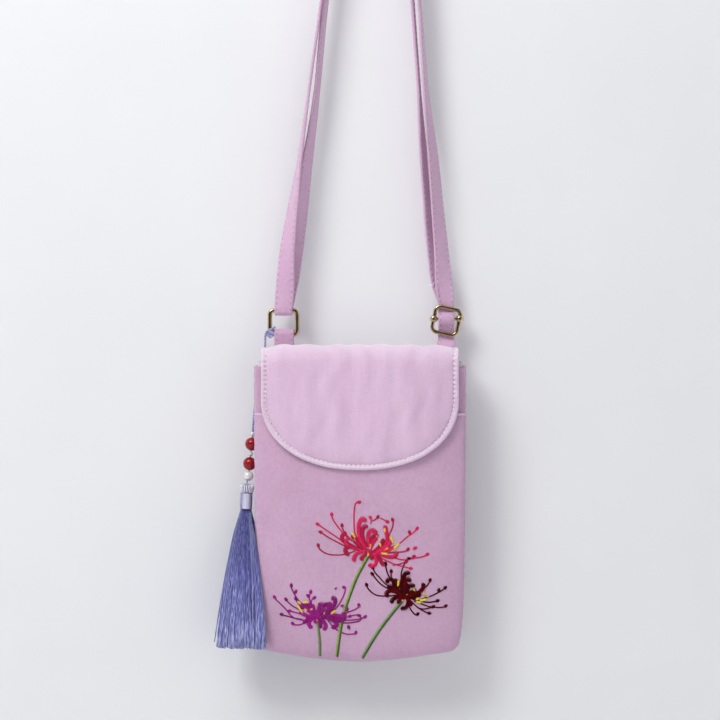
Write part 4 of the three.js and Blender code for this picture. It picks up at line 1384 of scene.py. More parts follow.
def make_slider_bar():
    """The crossbar, whose round ends run on the frame's side wires."""
    lean = math.radians(SLIDER["tilt"])
    reach = SLIDER_SIDE / math.cos(lean)
    middle = Vector((BAG_MIDDLE + SLIDER_OUT * MM, 0, BAR_LEVEL * MM))
    bar = add_solid("cylinder", vertices=32, radius=BAR_RADIUS * MM, depth=2 * reach * MM,
                    location=middle, rotation=(0, math.pi / 2, 0))
    bar.name = bar.data.name = "crossbar"
    ends = []
    for side in (-1, 1):
        along = (BAR_RISE + side * SLIDER_SIDE * math.sin(lean)) / math.cos(lean)
        x = side * SLIDER_SIDE * math.cos(lean) + along * math.sin(lean)
        ends.append(middle + Vector((x * MM, 0, 0)))
    bore_radius = (SLIDER["wire"] / 2 + FIT) * MM
    eye = SLIDER["wire"] / 2 + FIT + BAR_EYE_WALL
    for end in ends:
        ball = add_solid("uv_sphere", segments=40, ring_count=24, radius=eye * MM, location=end)
        cut_with(bar, ball, "UNION")
    for end in ends:
        bore = add_solid("cylinder", vertices=32, radius=bore_radius, depth=BORE_LENGTH * MM,
                         location=end, rotation=(0, lean, 0))
        cut_with(bar, bore, "DIFFERENCE")
    pick(bar)
    bpy.ops.object.transform_apply(location=True, rotation=True, scale=True)
    in_edit(bar, weld, face_out)
    bpy.ops.object.shade_smooth_by_angle(angle=math.radians(40))
    return finish(bar, gold, "pale_gold", "slider_bar")


def make_metal():
    ring = wire_loop("gold_ring", RING, (-RING_OUT, 0, (RING_TOP + RING_BOTTOM) / 2))
    finish(ring, gold, "pale_gold", "rectangular_ring")
    frame_wire = wire_loop("gold_slider", SLIDER, (SLIDER_OUT, 0, SLIDER_LEVEL), SLIDER["tilt"])
    finish(frame_wire, gold, "pale_gold", "slider_frame")
    make_slider_bar()


# The tassel: its cord, beads, wound head and skirt of threads. Places in millimetres, as above.
HITCH = (-RING_OUT - RING["width"] / 2, 0, RING_BOTTOM - RING["wire"] / 2)
SIDE_OUT = -62.5
# The cord's stops: the base that x is measured from, x, y and the way down from the ring's corner.
CORD_ROUTE = [
    ("ring", 4.3, -0.6, -5.6), ("ring", 3.4, -2.2, -5), ("ring", 1.4, -2.5, -4), ("ring", -0.7, -1.4, -2.6),
    ("ring", -1.3, 0.2, 0), ("ring", -1.4, 0.3, 4), ("ring", -2.2, 0.2, 12), ("side", 2.4, -0.6, 26),
    ("side", 0.4, -2.6, 40), ("side", -0.6, -4.2, 51),
]
# The beads from the top down: name, size, x, y, down and the slot of the material.
BEADS = [
    ("seed_bead_1", 3, -1, -4.8, 57.7, "clear_bead"),
    ("red_bead_1", 8, -1.5, -5.1, 63.6, "red_bead"),
    ("seed_bead_2", 3, -2.2, -5.4, 69.4, "clear_bead"),
    ("red_bead_2", 8, -2.7, -5.7, 75.2, "red_bead"),
    ("pearl_bead", 6, -3.5, -6.1, 82.5, "pearl"),
]
CORD_RADIUS = 0.6
CORD_PITCH = 1.9
HITCH_RADIUS = 0.85
HITCH_PITCH = 2.6
HITCH_TURNS = 3
HITCH_SPAN = 3.2
THREAD_RADIUS = 0.35
BORE_RADIUS = 0.65
HEAD = {"width": 8.5, "neck": 6.6, "height": 16, "wall": 0.9}
SKIRT = {"length": 80.8, "width": 31, "depth": 24, "locks": 14}
HEAD_TOP = np.array([SIDE_OUT - 4.4, -6.6, HITCH[2] - 87])
SKIRT_TOP = HEAD_TOP + [-0.5, -0.9, -HEAD["height"]]
SKIRT_FOOT = np.array([HEAD_TOP[0] - 2.2, -14, SKIRT_TOP[2] - SKIRT["length"]])


def in_frame(points):
    """Millimetres from the bag's middle to metres in the frame."""
    return np.asarray(points, float) * MM + [BAG_MIDDLE, 0, 0]


def route_place(base, x, y, down):
    return ((HITCH[0] if base == "ring" else SIDE_OUT) + x, y, HITCH[2] - down)


def twisted(name, path, radius, pitch):
    """Two plies laid round a path, as two pieces."""
    run = run_of(path)
    way = unit(np.gradient(path, axis=0))
    side = unit(np.cross(way, [0.15, 1, 0.1]))
    other = np.cross(way, side)
    plies = []
    for start in (0, math.pi):
        turn = run / pitch * 2 * math.pi + start
        around = side * np.cos(turn)[:, None] + other * np.sin(turn)[:, None]
        plies.append(path + around * radius * 0.5)
    return [threads(f"{name}_{i}", [ply], radius * 0.72, 6) for i, ply in enumerate(plies)]


def make_cord():
    """The cord from the ring to the first bead, and the thread that the beads hang on."""
    upper = [route_place(*row) for row in CORD_ROUTE]
    first_bead = BEADS[0]
    upper.append(route_place("side", *first_bead[2:5]))
    path = in_frame(evenly(upper, 0.25))
    path = path[run_of(path) < run_of(path)[-1] - first_bead[1] / 2 * MM]
    cord, pale_ply = twisted("tassel_cord", path, CORD_RADIUS * MM, CORD_PITCH * MM)
    finish(cord, cord_thread, "tassel_cord", "tassel_string")
    finish(pale_ply, pale_cord, "tassel_cord", "tassel_string")
    lower = [upper[-2]] + [route_place("side", *row[2:5]) for row in BEADS] + [tuple(HEAD_TOP)]
    lower.append(tuple(HEAD_TOP - [0, 0, HEAD["height"] * 0.3]))
    start = in_frame(evenly(lower, 0.5))
    thread = threads("bead_thread", [start[4:]], THREAD_RADIUS * MM, 8)
    finish(thread, cord_thread, "tassel_cord", "tassel_string")
    make_hitch()


def make_hitch():
    """The cord's turns round the ring's lower left corner."""
    lean = math.sqrt(0.5)
    corner = RING["corner"] * lean
    wide = (RING["width"] - RING["wire"]) / 2 - RING["corner"] + corner
    high = (RING["height"] - RING["wire"]) / 2 - RING["corner"] + corner
    middle = np.array([-RING_OUT - wide, 0, (RING_TOP + RING_BOTTOM) / 2 - high])
    turn = np.linspace(0, HITCH_TURNS * 2 * math.pi, 110)
    reach = RING["wire"] / 2 + CORD_RADIUS
    out, along = np.array([lean, 0, lean]), np.array([lean, 0, -lean])
    drift = (turn / turn[-1] - 0.5) * HITCH_SPAN
    path = middle + np.cos(turn)[:, None] * reach * out + drift[:, None] * along
    path[:, 1] += np.sin(turn) * reach
    blue, pale = twisted("hitch", in_frame(path), HITCH_RADIUS * MM, HITCH_PITCH * MM)
    finish(blue, cord_thread, "tassel_cord")
    finish(pale, pale_cord, "tassel_cord")


def turned_to(way):
    """The matrix that turns upright to a way."""
    return np.array(Vector((0, 0, 1)).rotation_difference(Vector(way)).to_matrix())


def turned_piece(name, profile, steps, place, way):
    """A turned body from its profile of radius and height, in millimetres, closed on itself."""
    profile = np.array(profile + profile[:1], float)
    turn = turned_to(way)
    rows = len(profile) - 1

    def lay(u, v):
        radius, level = between(v * rows, np.arange(rows + 1), profile).T
        angle = u * 2 * math.pi
        points = np.stack([radius * np.cos(angle), radius * np.sin(angle), level], -1)
        return in_frame(points @ turn.T + np.asarray(place))

    return laid_grid(name, steps, rows, lay, closed=True)


def make_beads():
    """Bored beads, each turned to the line through its neighbours."""
    stops = [route_place(*CORD_ROUTE[-1])]
    stops += [route_place("side", *row[2:5]) for row in BEADS] + [tuple(HEAD_TOP)]
    for i, (name, size, *_, slot) in enumerate(BEADS):
        radius = size / 2
        start = math.asin(BORE_RADIUS / radius)
        angles = np.linspace(start, math.pi - start, 26)
        profile = [(radius * math.sin(a), -radius * math.cos(a)) for a in angles]
        level = radius * math.cos(start)
        profile += [(BORE_RADIUS, level * share) for share in np.linspace(0.8, -0.8, 5)]
        way = np.array(stops[i]) - np.array(stops[i + 2])
        piece = turned_piece(name + "_polished", profile, 40, stops[i + 1], way)
        finish(piece, BEAD_FINISH[slot], slot, name)


WINDING_TURNS = 15
WINDING_STEPS = 26
WINDING_RADIUS = 0.34
HEAD_RIBS = 24
RIB_LEVELS = np.array([-0.02, -0.07, -0.13, -0.2, -0.28, -0.36]) * HEAD["height"]
RIB_RADII = np.array([0.64, 0.91, 1.0, 0.96, 0.86, 0.8]) * HEAD["width"] / 2


def head_profile():
    """The core's radii and heights, from its bore down its inside and up its outside."""
    neck, flare, tall = HEAD["neck"] / 2, HEAD["width"] / 2, HEAD["height"]
    socket = neck - HEAD["wall"]
    return [
        (BORE_RADIUS, 0), (BORE_RADIUS, -tall * 0.4), (socket, -tall * 0.45), (socket, -tall),
        (neck * 0.9, -tall), (neck * 0.96, -tall * 0.9), (neck * 0.94, -tall * 0.4),
        (flare * 0.84, -tall * 0.32), (flare * 0.96, -tall * 0.2), (flare, -tall * 0.13),
        (flare * 0.9, -tall * 0.07), (flare * 0.62, -tall * 0.02), (flare * 0.4, 0),
    ]


def make_head():
    """The tassel's head: a core, ribs over its flare and a close winding round its neck."""
    way = HEAD_TOP - SKIRT_TOP
    core = turned_piece("head_core", head_profile(), 48, HEAD_TOP, way)
    # The core is near black: painted shade in the gaps between the ribs and the winding.
    finish(core, head_shade, "tassel_binding", "tassel_head")
    turn = turned_to(way)
    angle = np.linspace(0, WINDING_TURNS * 2 * math.pi, WINDING_TURNS * WINDING_STEPS)
    share = angle / angle[-1]
    level = -HEAD["height"] * (0.36 + 0.56 * share)
    reach = HEAD["neck"] / 2 * (0.99 + 0.05 * np.sin(share * math.pi))
    winding = np.stack([reach * np.cos(angle), reach * np.sin(angle), level], -1)
    winding = in_frame(winding @ turn.T + HEAD_TOP)
    finish(threads("neck_winding", [winding], WINDING_RADIUS * MM, 8), head_thread, "tassel_binding")
    around = (np.arange(HEAD_RIBS) * 2 * math.pi / HEAD_RIBS)[:, None]
    levels = np.broadcast_to(RIB_LEVELS, (HEAD_RIBS, len(RIB_LEVELS)))
    ribs = np.stack([RIB_RADII * np.cos(around), RIB_RADII * np.sin(around), levels], -1)
    ribs = in_frame(ribs @ turn.T + HEAD_TOP)
    finish(threads("head_ribs", ribs, WINDING_RADIUS * MM, 6), silver_thread, "tassel_binding")


# The skirt's width down its length, as shares.
SKIRT_DOWN = np.array([-0.09, 0, 0.06, 0.12, 0.25, 0.43, 0.62, 0.82, 1])
SKIRT_WIDE = np.array([0.13, 0.2, 0.29, 0.39, 0.53, 0.68, 0.82, 0.93, 1])
# Where each of the skirt's threads has a point, as shares of its length.
THREAD_DOWN = np.concatenate([[-0.09, -0.03], np.linspace(0.01, 1, 15)])
FORWARD_STEP = 0.5 * MM
FORWARD_MOST = 11 * MM
NECK_SHARE = 0.03
FORWARD = np.array([0, -1, 0])
DRAW_IN_STEPS = 40
DRAW_IN_SHARE = 0.95
SKIRT_CLEAR = 0.25 * MM
LOCK_GATHER = 0.55
UNEVEN_ENDS = 0.09
STRAY_SHARE = 0.07
STRAY_FROM = 0.55


def inside_bag(points):
    """Whether places, in metres, lie in the bag or its front pocket."""
    up = (points[..., 2] - BAG_BOTTOM) / BAG_HEIGHT
    grow = 2 * GAP + POCKET_WALL + SKIRT_CLEAR
    level = np.clip(up, 0, 1)
    front = BAG_FRONT * smooth_column(BAG_ROWS, "front", level)
    back = BAG_BACK * smooth_column(BAG_ROWS, "back", level)
    deep = np.where(points[..., 1] < WIDEST, front, back) + grow
    wide = BAG_HALF * smooth_column(BAG_ROWS, "wide", level) + grow
    across = np.abs(points[..., 0] - BAG_MIDDLE) / wide
    depth = np.abs(points[..., 1] - WIDEST) / deep
    return (across**SQUARENESS + depth**SQUARENESS < 1) & (up > -0.01)


def clear_of_bag(axis, points, down):
    """Lays threads forward over the bag's edge, or beside it where that is too far."""
    forward = np.zeros(points.shape[:-1])
    for _ in range(round(FORWARD_MOST / FORWARD_STEP) + 2):
        moved = points + forward[..., None] * FORWARD
        forward += np.where(inside_bag(moved), FORWARD_STEP, 0)
    furthest = np.maximum.accumulate(forward, axis=1)
    low = np.clip(down - NECK_SHARE, 0, None) + 0.002
    slope = np.maximum.accumulate((forward / low)[:, ::-1], axis=1)[:, ::-1]
    laid = np.where(down > NECK_SHARE, np.maximum(furthest, slope * low), 0)
    over = forward.max(axis=1) < FORWARD_MOST
    points = points + np.where(over[:, None], laid, 0)[..., None] * FORWARD
    share = np.ones(points.shape[:-1])
    for _ in range(DRAW_IN_STEPS):
        inside = inside_bag(axis + (points - axis) * share[..., None])
        share = np.where(inside, share * DRAW_IN_SHARE, share)
    return axis + (points - axis) * share[..., None]


def skirt_threads(name, count, low, high, radius, seed, material):
    """Threads of the skirt between two shares of its radius, gathered in locks."""
    rng = np.random.default_rng(seed)
    down = THREAD_DOWN
    angle = rng.uniform(0, 2 * math.pi, count)
    angle += np.sin(angle * SKIRT["locks"]) * LOCK_GATHER / SKIRT["locks"]
    share = np.sqrt(rng.uniform(low**2, high**2, count))
    spread = np.interp(down, SKIRT_DOWN, SKIRT_WIDE)
    reach = down * (0.99 - rng.beta(1.1, 5, (count, 1)) * UNEVEN_ENDS)
    reach = np.where(down < 0.1, down, reach)
    axis = SKIRT_TOP + (SKIRT_FOOT - SKIRT_TOP) * reach[..., None]
    bends, start = rng.uniform(2, 7, (count, 1)), rng.uniform(0, 6, (count, 1))
    wave = np.clip(down, 0, 1) * np.sin(down * bends + start)
    strays = rng.uniform(0, 1, (count, 1)) > 1 - STRAY_SHARE
    stray = strays * np.clip(down - STRAY_FROM, 0, 1) ** 2 * 0.5
    turn = angle[:, None] + wave * 0.07
    wide = spread * share[:, None] * (1 + wave * 0.035 + stray)
    across = np.cos(turn) * wide * SKIRT["width"] / 2
    deep = np.sin(turn) * wide * SKIRT["depth"] / 2
    points = in_frame(axis + np.stack([across, deep, np.zeros_like(wide)], -1))
    points = clear_of_bag(in_frame(axis), points, down)
    return finish(threads(name, points, radius * MM, 4), material, "tassel_thread", "tassel_skirt")


def make_skirt():
    skirt_threads("skirt_outer", 620, 0.84, 1.0, 0.36, 31, silk_thread)
    # The inner threads take a darker copy of the silk: painted shade inside the skirt.
    skirt_threads("skirt_inner", 330, 0.3, 0.84, 0.42, 32, inner_silk_shade)


# Stitching on the bag.
SEAM_THREAD = 0.3 * MM
FLAP_THREAD = 0.36 * MM
HEM_THREAD = 0.2 * MM


def tree_of(piece):
    """A piece's faces, for finding where a line meets them."""
    faces = [tuple(face.vertices) for face in piece.data.polygons]
    return BVHTree.FromPolygons([vertex.co for vertex in piece.data.vertices], faces)


def flap_outer(flat_x, flat_run):
    """Places on the flap's outer face, from places on the flat flap, with their normals."""
    u = 0.5 + np.arcsin(np.clip(flat_x / FLAP_HALF, -1, 1)) / math.pi
    full = np.interp(u * (FLAP_COLUMNS - 1), np.arange(FLAP_COLUMNS), flap_runs)
    v = 1 - (1 - np.clip(flat_run / full, 0, 1)) ** (1 / FLAP_ROW_EASE)
    points = flap_form(u, v)
    normal = form_normal(flap_form, u, v, -1)
    return points + normal * flap_thick(u, v, points)[0][:, None], normal


def make_flap_stitches():
    """The stitches round the flap's edge, their needle holes and the seam on the back."""
    way = unit(np.gradient(flap_edge, axis=0))
    inward = np.stack([way[:, 1], -way[:, 0]], -1)
    middle = flap_edge.mean(axis=0)
    inward *= np.sign(((middle - flap_edge) * inward).sum(1))[:, None]
    line = flap_edge + inward * STITCH_IN
    run = run_of(line)
    pitch = STITCH_PITCH
    middles = np.arange(1.5, run[-1] / pitch - 1.5) * pitch
    at = middles[:, None] + STITCH_ALONG * pitch
    points, normal = flap_outer(*between(at.ravel(), run, line).T)
    paths = points.reshape(*at.shape, 3) + normal.reshape(*at.shape, 3) * STITCH_LIFT[:, None] * 1.1
    across = np.arange(-FLAP_HALF + STITCH_IN, FLAP_HALF - STITCH_IN, pitch)[:, None] + STITCH_ALONG * pitch
    seam, seam_normal = flap_outer(across.ravel(), np.full(across.size, BACK_SEAM_IN))
    seam = (seam + seam_normal * np.tile(STITCH_LIFT, len(across))[:, None]).reshape(*across.shape, 3)
    finish(threads("flap_seam_stitches", seam, SEAM_THREAD, 4), lilac_thread, "lilac_cotton")
    needle_holes("flap_holes", paths, "lilac_cotton")
    return finish(threads("flap_stitches", paths, FLAP_THREAD, 5), pale_lilac_thread, "lilac_cotton")


def make_hem():
    """The pocket's rolled hem, in the flap's lighter cotton as a painted highlight along it, and the
    stitches below it.
    """
    u = np.linspace(0.004, 0.996, 260)
    v = np.full(len(u), 0.999)
    points = pocket_form(u, v)
    roll = points + form_normal(pocket_form, u, v, 1) * HEM_ROLL * 0.9
    # The lighter flap cotton paints a highlight along the hem's roll.
    finish(threads("hem_roll", [roll], HEM_ROLL, 10), lit_flap_cotton, "lilac_cotton")
    u = np.linspace(0.01, 0.99, 1200)
    v = np.full(len(u), 1 - HEM_STITCH_LOW / (HEM_SHARE * BAG_HEIGHT))
    form = pocket_form(u, v)
    normal = form_normal(pocket_form, u, v, 1)
    line = form + normal * pocket_thick(u, v, form)[0][:, None]
    run = run_of(line)
    middles = np.arange(1, run[-1] / STITCH_PITCH - 1) * STITCH_PITCH
    at = middles[:, None] + STITCH_ALONG * STITCH_PITCH
    paths = between(at, run, line) + between(at, run, normal) * STITCH_LIFT[:, None]
    return finish(threads("hem_stitches", paths, HEM_THREAD, 4), lilac_thread, "lilac_cotton")


# Embroidery. Lines are places in the photo, across and down in pixels, drawn from each
# flower's outer ends to its middle. A stem's width is in pixels too.
CRIMSON_LILY = {
    "filaments": [
        [(316, 523), (326, 530), (335, 536), (343, 541.5), (354, 547)],
        [(319, 531), (327, 536.5), (336, 541.5), (345, 546), (356, 550)],
        [(331.5, 512.5), (332.5, 518.5), (337, 525.5), (342, 532), (350, 540)],
        [(342, 523.5), (342.3, 528), (345, 533), (352, 541)],
        [(361, 502), (356, 503), (354.2, 511), (354, 521), (355, 533), (360, 543)],
        [(318, 543.5), (319, 548), (322.5, 551.5), (329, 554.3), (337, 555), (345, 554.3), (355, 551)],
        [(369.5, 516), (371, 519), (370.8, 524)],
        [(379, 515.5), (376, 519), (372.5, 521)],
        [(389, 522.5), (385, 520.5), (380.5, 518)],
        [(392.3, 518), (393, 525), (390, 533), (386, 541)],
        [(418.3, 527), (413.5, 532.5), (407, 537), (400, 543), (390, 548)],
        [(409, 530.5), (410.2, 535)],
        [(417, 547.3), (413, 549.2)],
        [(409.3, 548), (406, 551), (398, 552.3), (388, 553)],
        [(429, 553.5), (422.5, 556.8), (415, 558), (409, 559.5), (401, 559.6), (390, 556.5)],
        [(415.3, 555.5), (411, 558.5)],
        [(412.5, 568.8), (402, 566.3), (394, 564), (385, 560), (378, 556)],
        [(408, 561), (400, 564), (393, 565.3)],
    ],
    "petals": [
        [(377, 537.5), (373.5, 542), (371, 547), (369.5, 552.5)],
        [(384, 539), (381, 544.5), (376.5, 549.5), (371, 553.5)],
        [(388.5, 545), (383, 549.5), (377.5, 552.5), (371, 554.5)],
        [(352, 535), (356, 541), (361, 546.5), (366.5, 551.5)],
        [(366, 521.5), (362.5, 518.6), (359.3, 523), (358.7, 531), (360.3, 539), (365, 548)],
        [(367.5, 527.5), (364.5, 526.2), (362.3, 531), (363, 538), (367, 547)],
        [(376.5, 534), (373.5, 530.5), (369.5, 531.5), (368, 537), (369.5, 547)],
        [(378, 537), (375, 535), (372, 538), (371.5, 545)],
        [(385, 525.5), (386.3, 532), (387.3, 538), (386, 544), (379, 550)],
        [(346.5, 533), (343, 534.5), (342, 539), (347, 543), (356, 548)],
        [(348, 539.8), (345, 541.5), (349, 546), (360, 550)],
        [(348.5, 555.5), (345, 550), (349.5, 546.5), (358, 548.5)],
        [(354, 561.5), (354.3, 557), (358, 553), (365, 550.5)],
        [(361, 560.5), (362.3, 557), (367, 553.5)],
        [(368.5, 564.5), (373.5, 566.2), (376.3, 562), (375.5, 557), (373.5, 552)],
        [(384.5, 566), (381, 561.5), (378.5, 556), (375.5, 552)],
        [(397, 551.5), (395, 556.3), (389, 557), (382.5, 555), (376, 551.5)],
        [(372, 560), (371, 555), (370, 551)],
        [(391, 540), (388, 546), (380, 551)],
        [(354, 540), (360, 546), (367, 550.5)],
        [(394, 548), (386, 550.5), (377, 551)],
    ],
    "accents": [
        [(351.5, 532), (355, 538)], [(354, 539), (357.3, 543)], [(370.3, 544), (369.8, 548.5)],
        [(379.7, 542.5), (380.7, 546.5)], [(384.8, 528), (384.7, 532)], [(390.5, 536.5), (393, 543)],
        [(399, 543.5), (391.3, 551)], [(388, 547.5), (383.5, 551.5)], [(387.5, 554), (381, 553)],
        [(376.3, 536), (377.6, 536.2)], [(368.4, 553.5), (367.5, 556)],
    ],
    "stem": [
        (368.3, 556), (357, 576.7), (352, 589), (348, 600), (345, 609), (340.7, 628), (336.7, 656.3),
    ],
    "stem_width": 2.9,
}
MAGENTA_LILY = {
    "filaments": [
        [
            (273.8, 595.5), (275.6, 599), (280, 603.3), (285, 608.3), (291.5, 616), (297, 619),
            (305, 620.5),
        ],
        [(285, 597.8), (287, 600.8), (291.3, 605), (296, 608), (303, 611.5)],
        [(287.8, 610.4), (292, 611.6), (298, 613.2), (304, 615)],
        [(280, 613.5), (283, 615.1), (288, 616.3), (294, 618), (302, 619.5)],
        [(291.7, 622), (293.5, 624.4), (297.5, 625), (301.5, 624.3), (306, 621.3), (311, 618)],
        [(291.6, 583.6), (291.2, 587), (293.3, 592), (296, 596.8), (299.5, 601.5), (306, 607)],
        [(296.8, 590), (295, 593)],
        [(295.3, 597), (297, 601.5), (301.5, 607), (308, 612)],
        [(311.3, 590), (309.6, 595), (309.2, 598), (310.5, 603), (313, 609)],
        [(306.8, 594.4), (308.8, 596.8)],
        [(316, 596.8), (312, 599.6), (311, 603)],
        [(335.2, 588.2), (336.2, 588.6)],
        [(342.5, 586.3), (345.2, 588.6), (344.2, 594), (341, 600.8), (337, 607), (331, 613)],
        [(341, 605.2), (343, 606.3)],
        [(358, 603.6), (359.2, 606), (356, 609), (351.3, 611), (346, 613), (339, 615.5)],
        [(347.9, 607.6), (346.5, 610.5)],
        [(366.8, 615.8), (362, 618.3), (352, 620), (343, 620.3)],
        [(357.3, 614.8), (360.3, 616.5), (360.6, 620), (352, 622.6), (343, 622.8), (334, 620.5)],
        [(348, 617), (353, 615.5), (357.5, 614.8)],
        [(348.3, 625.3), (349.3, 629.5)],
        [
            (356.2, 630.8), (355.6, 633.2), (351.5, 634.2), (346, 634), (341, 632), (335, 628.5),
            (328, 620.5),
        ],
    ],
    "petals": [
        [(302, 606), (307, 608.5), (311, 612.5), (315.5, 618)],
        [(309.5, 603), (312, 608), (315, 613), (317, 618.5)],
        [(319.5, 606.5), (318.5, 611), (317.5, 618)],
        [(331.5, 599), (334.3, 598), (335.2, 602), (333, 607), (329.5, 612), (324, 616)],
        [(329.6, 601.8), (329.5, 606.5), (326.5, 611.5), (322, 616)],
        [(325, 602.8), (328, 606.3)],
        [(318.3, 605.6), (321.5, 604), (323.6, 607.5), (321.5, 611.5), (318.5, 616)],
        [(317, 609.5), (319.5, 608.8), (320, 612), (317.5, 616)],
        [(312, 628.2), (309, 624.8), (309.5, 621.5), (313.5, 618)],
        [(320, 628), (320.3, 623.5), (318.5, 618.5)],
        [(323.6, 629.8), (325.8, 626.5), (324.3, 622.5), (320.5, 618)],
        [(331.5, 627.2), (336.3, 626), (336, 621.5), (329, 618.5), (321, 616.5)],
        [(338, 624), (333.5, 620.5), (326, 617)],
        [(342.3, 612.5), (345, 616), (342.5, 620), (334, 619), (325, 617)],
        [(344, 617), (336, 615.5), (327, 616)],
        [(299, 609.5), (304, 605.5), (309.5, 606.5), (314, 611.5), (317, 616)],
        [(300, 611), (304, 614.5), (310, 616.5)],
        [(303, 622.5), (309, 619.5), (315, 617)],
        [(312, 604), (313.5, 609), (316.5, 615)],
        [(306, 617.5), (311, 617), (317, 617)],
        [(314.5, 623), (316, 620), (317, 617)],
    ],
    "accents": [
        [(297.8, 601.3), (300.6, 603.6)], [(303.3, 602.4), (308, 601.6)], [(298, 605.6), (302.6, 613)],
        [(305, 608.6), (306.6, 611)], [(310.5, 609.6), (313, 608.4)], [(316, 605), (316.5, 606)],
        [(323.8, 614.6), (324.8, 612)], [(331, 613.6), (335.5, 610.6)], [(316.8, 618.8), (317.2, 621)],
    ],
    "stem": [(317, 621), (318.6, 630.3), (319.6, 640.3), (320, 655.7)],
    "stem_width": 2.3,
}
MAROON_LILY = {
    "filaments": [
        [(371.8, 565.8), (375.4, 573), (380, 578), (385, 583.5), (392, 588)],
        [(371.2, 572.3), (374.8, 577.5), (379.5, 583), (385, 587), (393, 590.5)],
        [(366.2, 583), (367.5, 587.6), (371, 591.8), (376, 595), (382, 596), (389, 596), (398, 595)],
        [(385.4, 561.8), (386.2, 568.5), (387.6, 573.5), (390.5, 579), (395, 586)],
        [(391.6, 569.5), (391, 573), (392, 579.5), (396, 587)],
        [(410.8, 558.6), (407.3, 559), (404, 565), (401.3, 573), (401.3, 580), (402, 588)],
        [(430.8, 578.5), (428, 584.5), (424, 588.3), (417, 592.5)],
        [(446.6, 586.6), (442.5, 590), (437, 593.2), (431, 596), (422, 599)],
        [(439.5, 588.3), (438.2, 592)],
        [(439.3, 600.3), (434, 601.6), (428, 602.3), (420, 601), (412, 599)],
        [(447.3, 605.2), (443, 607.2), (436.5, 607.4), (430, 606.7), (423, 604.5), (414, 601)],
        [(435, 606), (429.5, 608), (423.5, 609), (418, 608)],
        [(431, 613.7), (426.5, 612.4), (421, 609.6), (416, 606), (411, 601)],
        [(419.2, 613), (416, 615), (412.7, 612.2), (410, 608), (408, 602.5)],
    ],
    "petals": [
        [(407.5, 583), (406, 588), (405, 593), (405, 598.5)],
        [(416, 589.5), (412, 593), (408.5, 596), (405.5, 598.5)],
        [(393, 587), (397, 591.5), (401, 595.5), (404.5, 598.5)],
        [(409.6, 574), (406.8, 572.6), (403.8, 576), (401.8, 581), (401.3, 587), (403, 594)],
        [(410, 582), (407.8, 578.2), (405, 582), (404.2, 587), (404.5, 594)],
        [(414.5, 586.5), (411.5, 585.3), (408.2, 588), (407, 594)],
        [(423, 583), (423.3, 587), (421, 590.6), (416, 593.5), (409, 596)],
        [(386.5, 583), (389, 579), (392.5, 580), (394.5, 585.5), (398, 590.5), (403, 594)],
        [(395.4, 578.6), (396.3, 582.5), (399, 588.5)],
        [(388, 588.5), (390.5, 585.5), (393, 590), (400, 594)],
        [(388, 597), (386.3, 593), (390, 590.8), (396, 592), (402, 595)],
        [(391.4, 603.2), (392.3, 600), (396, 597.6), (403, 596)],
        [(397.3, 603.2), (400.5, 600), (404, 597.5)],
        [(400.8, 607.8), (404.5, 608.3), (407.3, 605.5), (408, 600)],
        [(411, 606), (409.5, 601), (407, 597)],
        [(417, 597), (412, 597), (407, 596.5)],
        [(416, 593), (411, 592), (407, 594.5)],
        [(421, 594.5), (415, 596.5), (409, 597.5)],
        [(398, 597.5), (402, 597), (407, 597.5)],
    ],
    "accents": [
        [(398.4, 580.3), (397.8, 586)], [(413.4, 588.6), (415, 591)], [(406.6, 594), (407.4, 594.3)],
        [(423.5, 592.3), (424.3, 595)], [(418.6, 597.8), (416, 599.7)], [(427, 596.3), (428.4, 596.7)],
        [(426.6, 599.3), (420, 600.6)], [(420.6, 602.8), (416, 601.4)], [(402.6, 599), (402, 601)],
    ],
    "stem": [
        (402.3, 600.8), (396.3, 608), (389.5, 616.5), (380, 629), (373.4, 639), (367.4, 649),
        (362.4, 658),
    ],
    "stem_width": 3.1,
}
FLOWERS = {"crimson": CRIMSON_LILY, "magenta": MAGENTA_LILY, "maroon": MAROON_LILY}
SATIN_PITCH = 0.36 * MM
FILAMENT_WIDTH = 0.72 * MM
FILAMENT_END = 1.85 * MM
PETAL_WIDTH = 2.1 * MM
ANTHER_LENGTH = 2.1 * MM
ACCENT_WIDTH = 1.3 * MM
SATIN_THREAD = 0.19 * MM
STEM_THREAD = 0.2 * MM
ANTHER_ROUND, PETAL_ROUND, ACCENT_ROUND = 0.9 * MM, 1 * MM, 0.8 * MM
FILAMENT_SLANT, PETAL_SLANT, ACCENT_SLANT, STEM_SLANT = 0.25 * MM, 0.3 * MM, 0.1 * MM, 0.5 * MM
ACCENT_LIFT = 0.42 * MM
SATIN_RISE = 0.16 * MM
STEM_OVERLAP = 1.15
# A satin stitch's arch: shares of its width and of its rise.
SATIN_ARCH = ((-0.5, -0.35), (-0.3, 0.7), (0, 1), (0.3, 0.7), (0.5, -0.35))


def onto_cloth(tree, x, z):
    """Where the photo's line of sight through a place on the bag's plane meets the cloth."""
    across, high = photo_place(PHOTO_SIDE / 2, PHOTO_SIDE / 2)
    eye = Vector((across, VIEW_PLANE - CAMERA_AWAY, high))
    return tree.ray_cast(eye, (Vector((x, VIEW_PLANE, z)) - eye).normalized())[:2]


def satin(tree, line, width_at, lift, slant=0.0, shift=0.0):
    """Close stitches side by side across a line, arched over the cloth. width_at is by run in metres."""
    places = np.array([photo_place(*spot) for spot in line])
    flat = evenly(places, SATIN_PITCH)
    run = run_of(flat)
    way = unit(np.gradient(flat, axis=0))
    paths = []
    for (x, z), (way_x, way_z), at in zip(flat, way, run):
        width = width_at(at, run[-1])
        x, z = x - way_z * shift, z + way_x * shift
        hit, normal = onto_cloth(tree, x, z)
        if hit is None:
            continue
        if normal.y > 0:
            normal = -normal
        along = Vector((way_x, 0, way_z))
        across = normal.cross(along).normalized()
        along = across.cross(normal)
        rise = SATIN_RISE + 0.14 * width
        path = []
        for share, high in SATIN_ARCH:
            spot = hit + across * width * share + along * slant * share
            path.append(tuple(spot + normal * (rise * high + lift)))
        paths.append(path)
    return paths


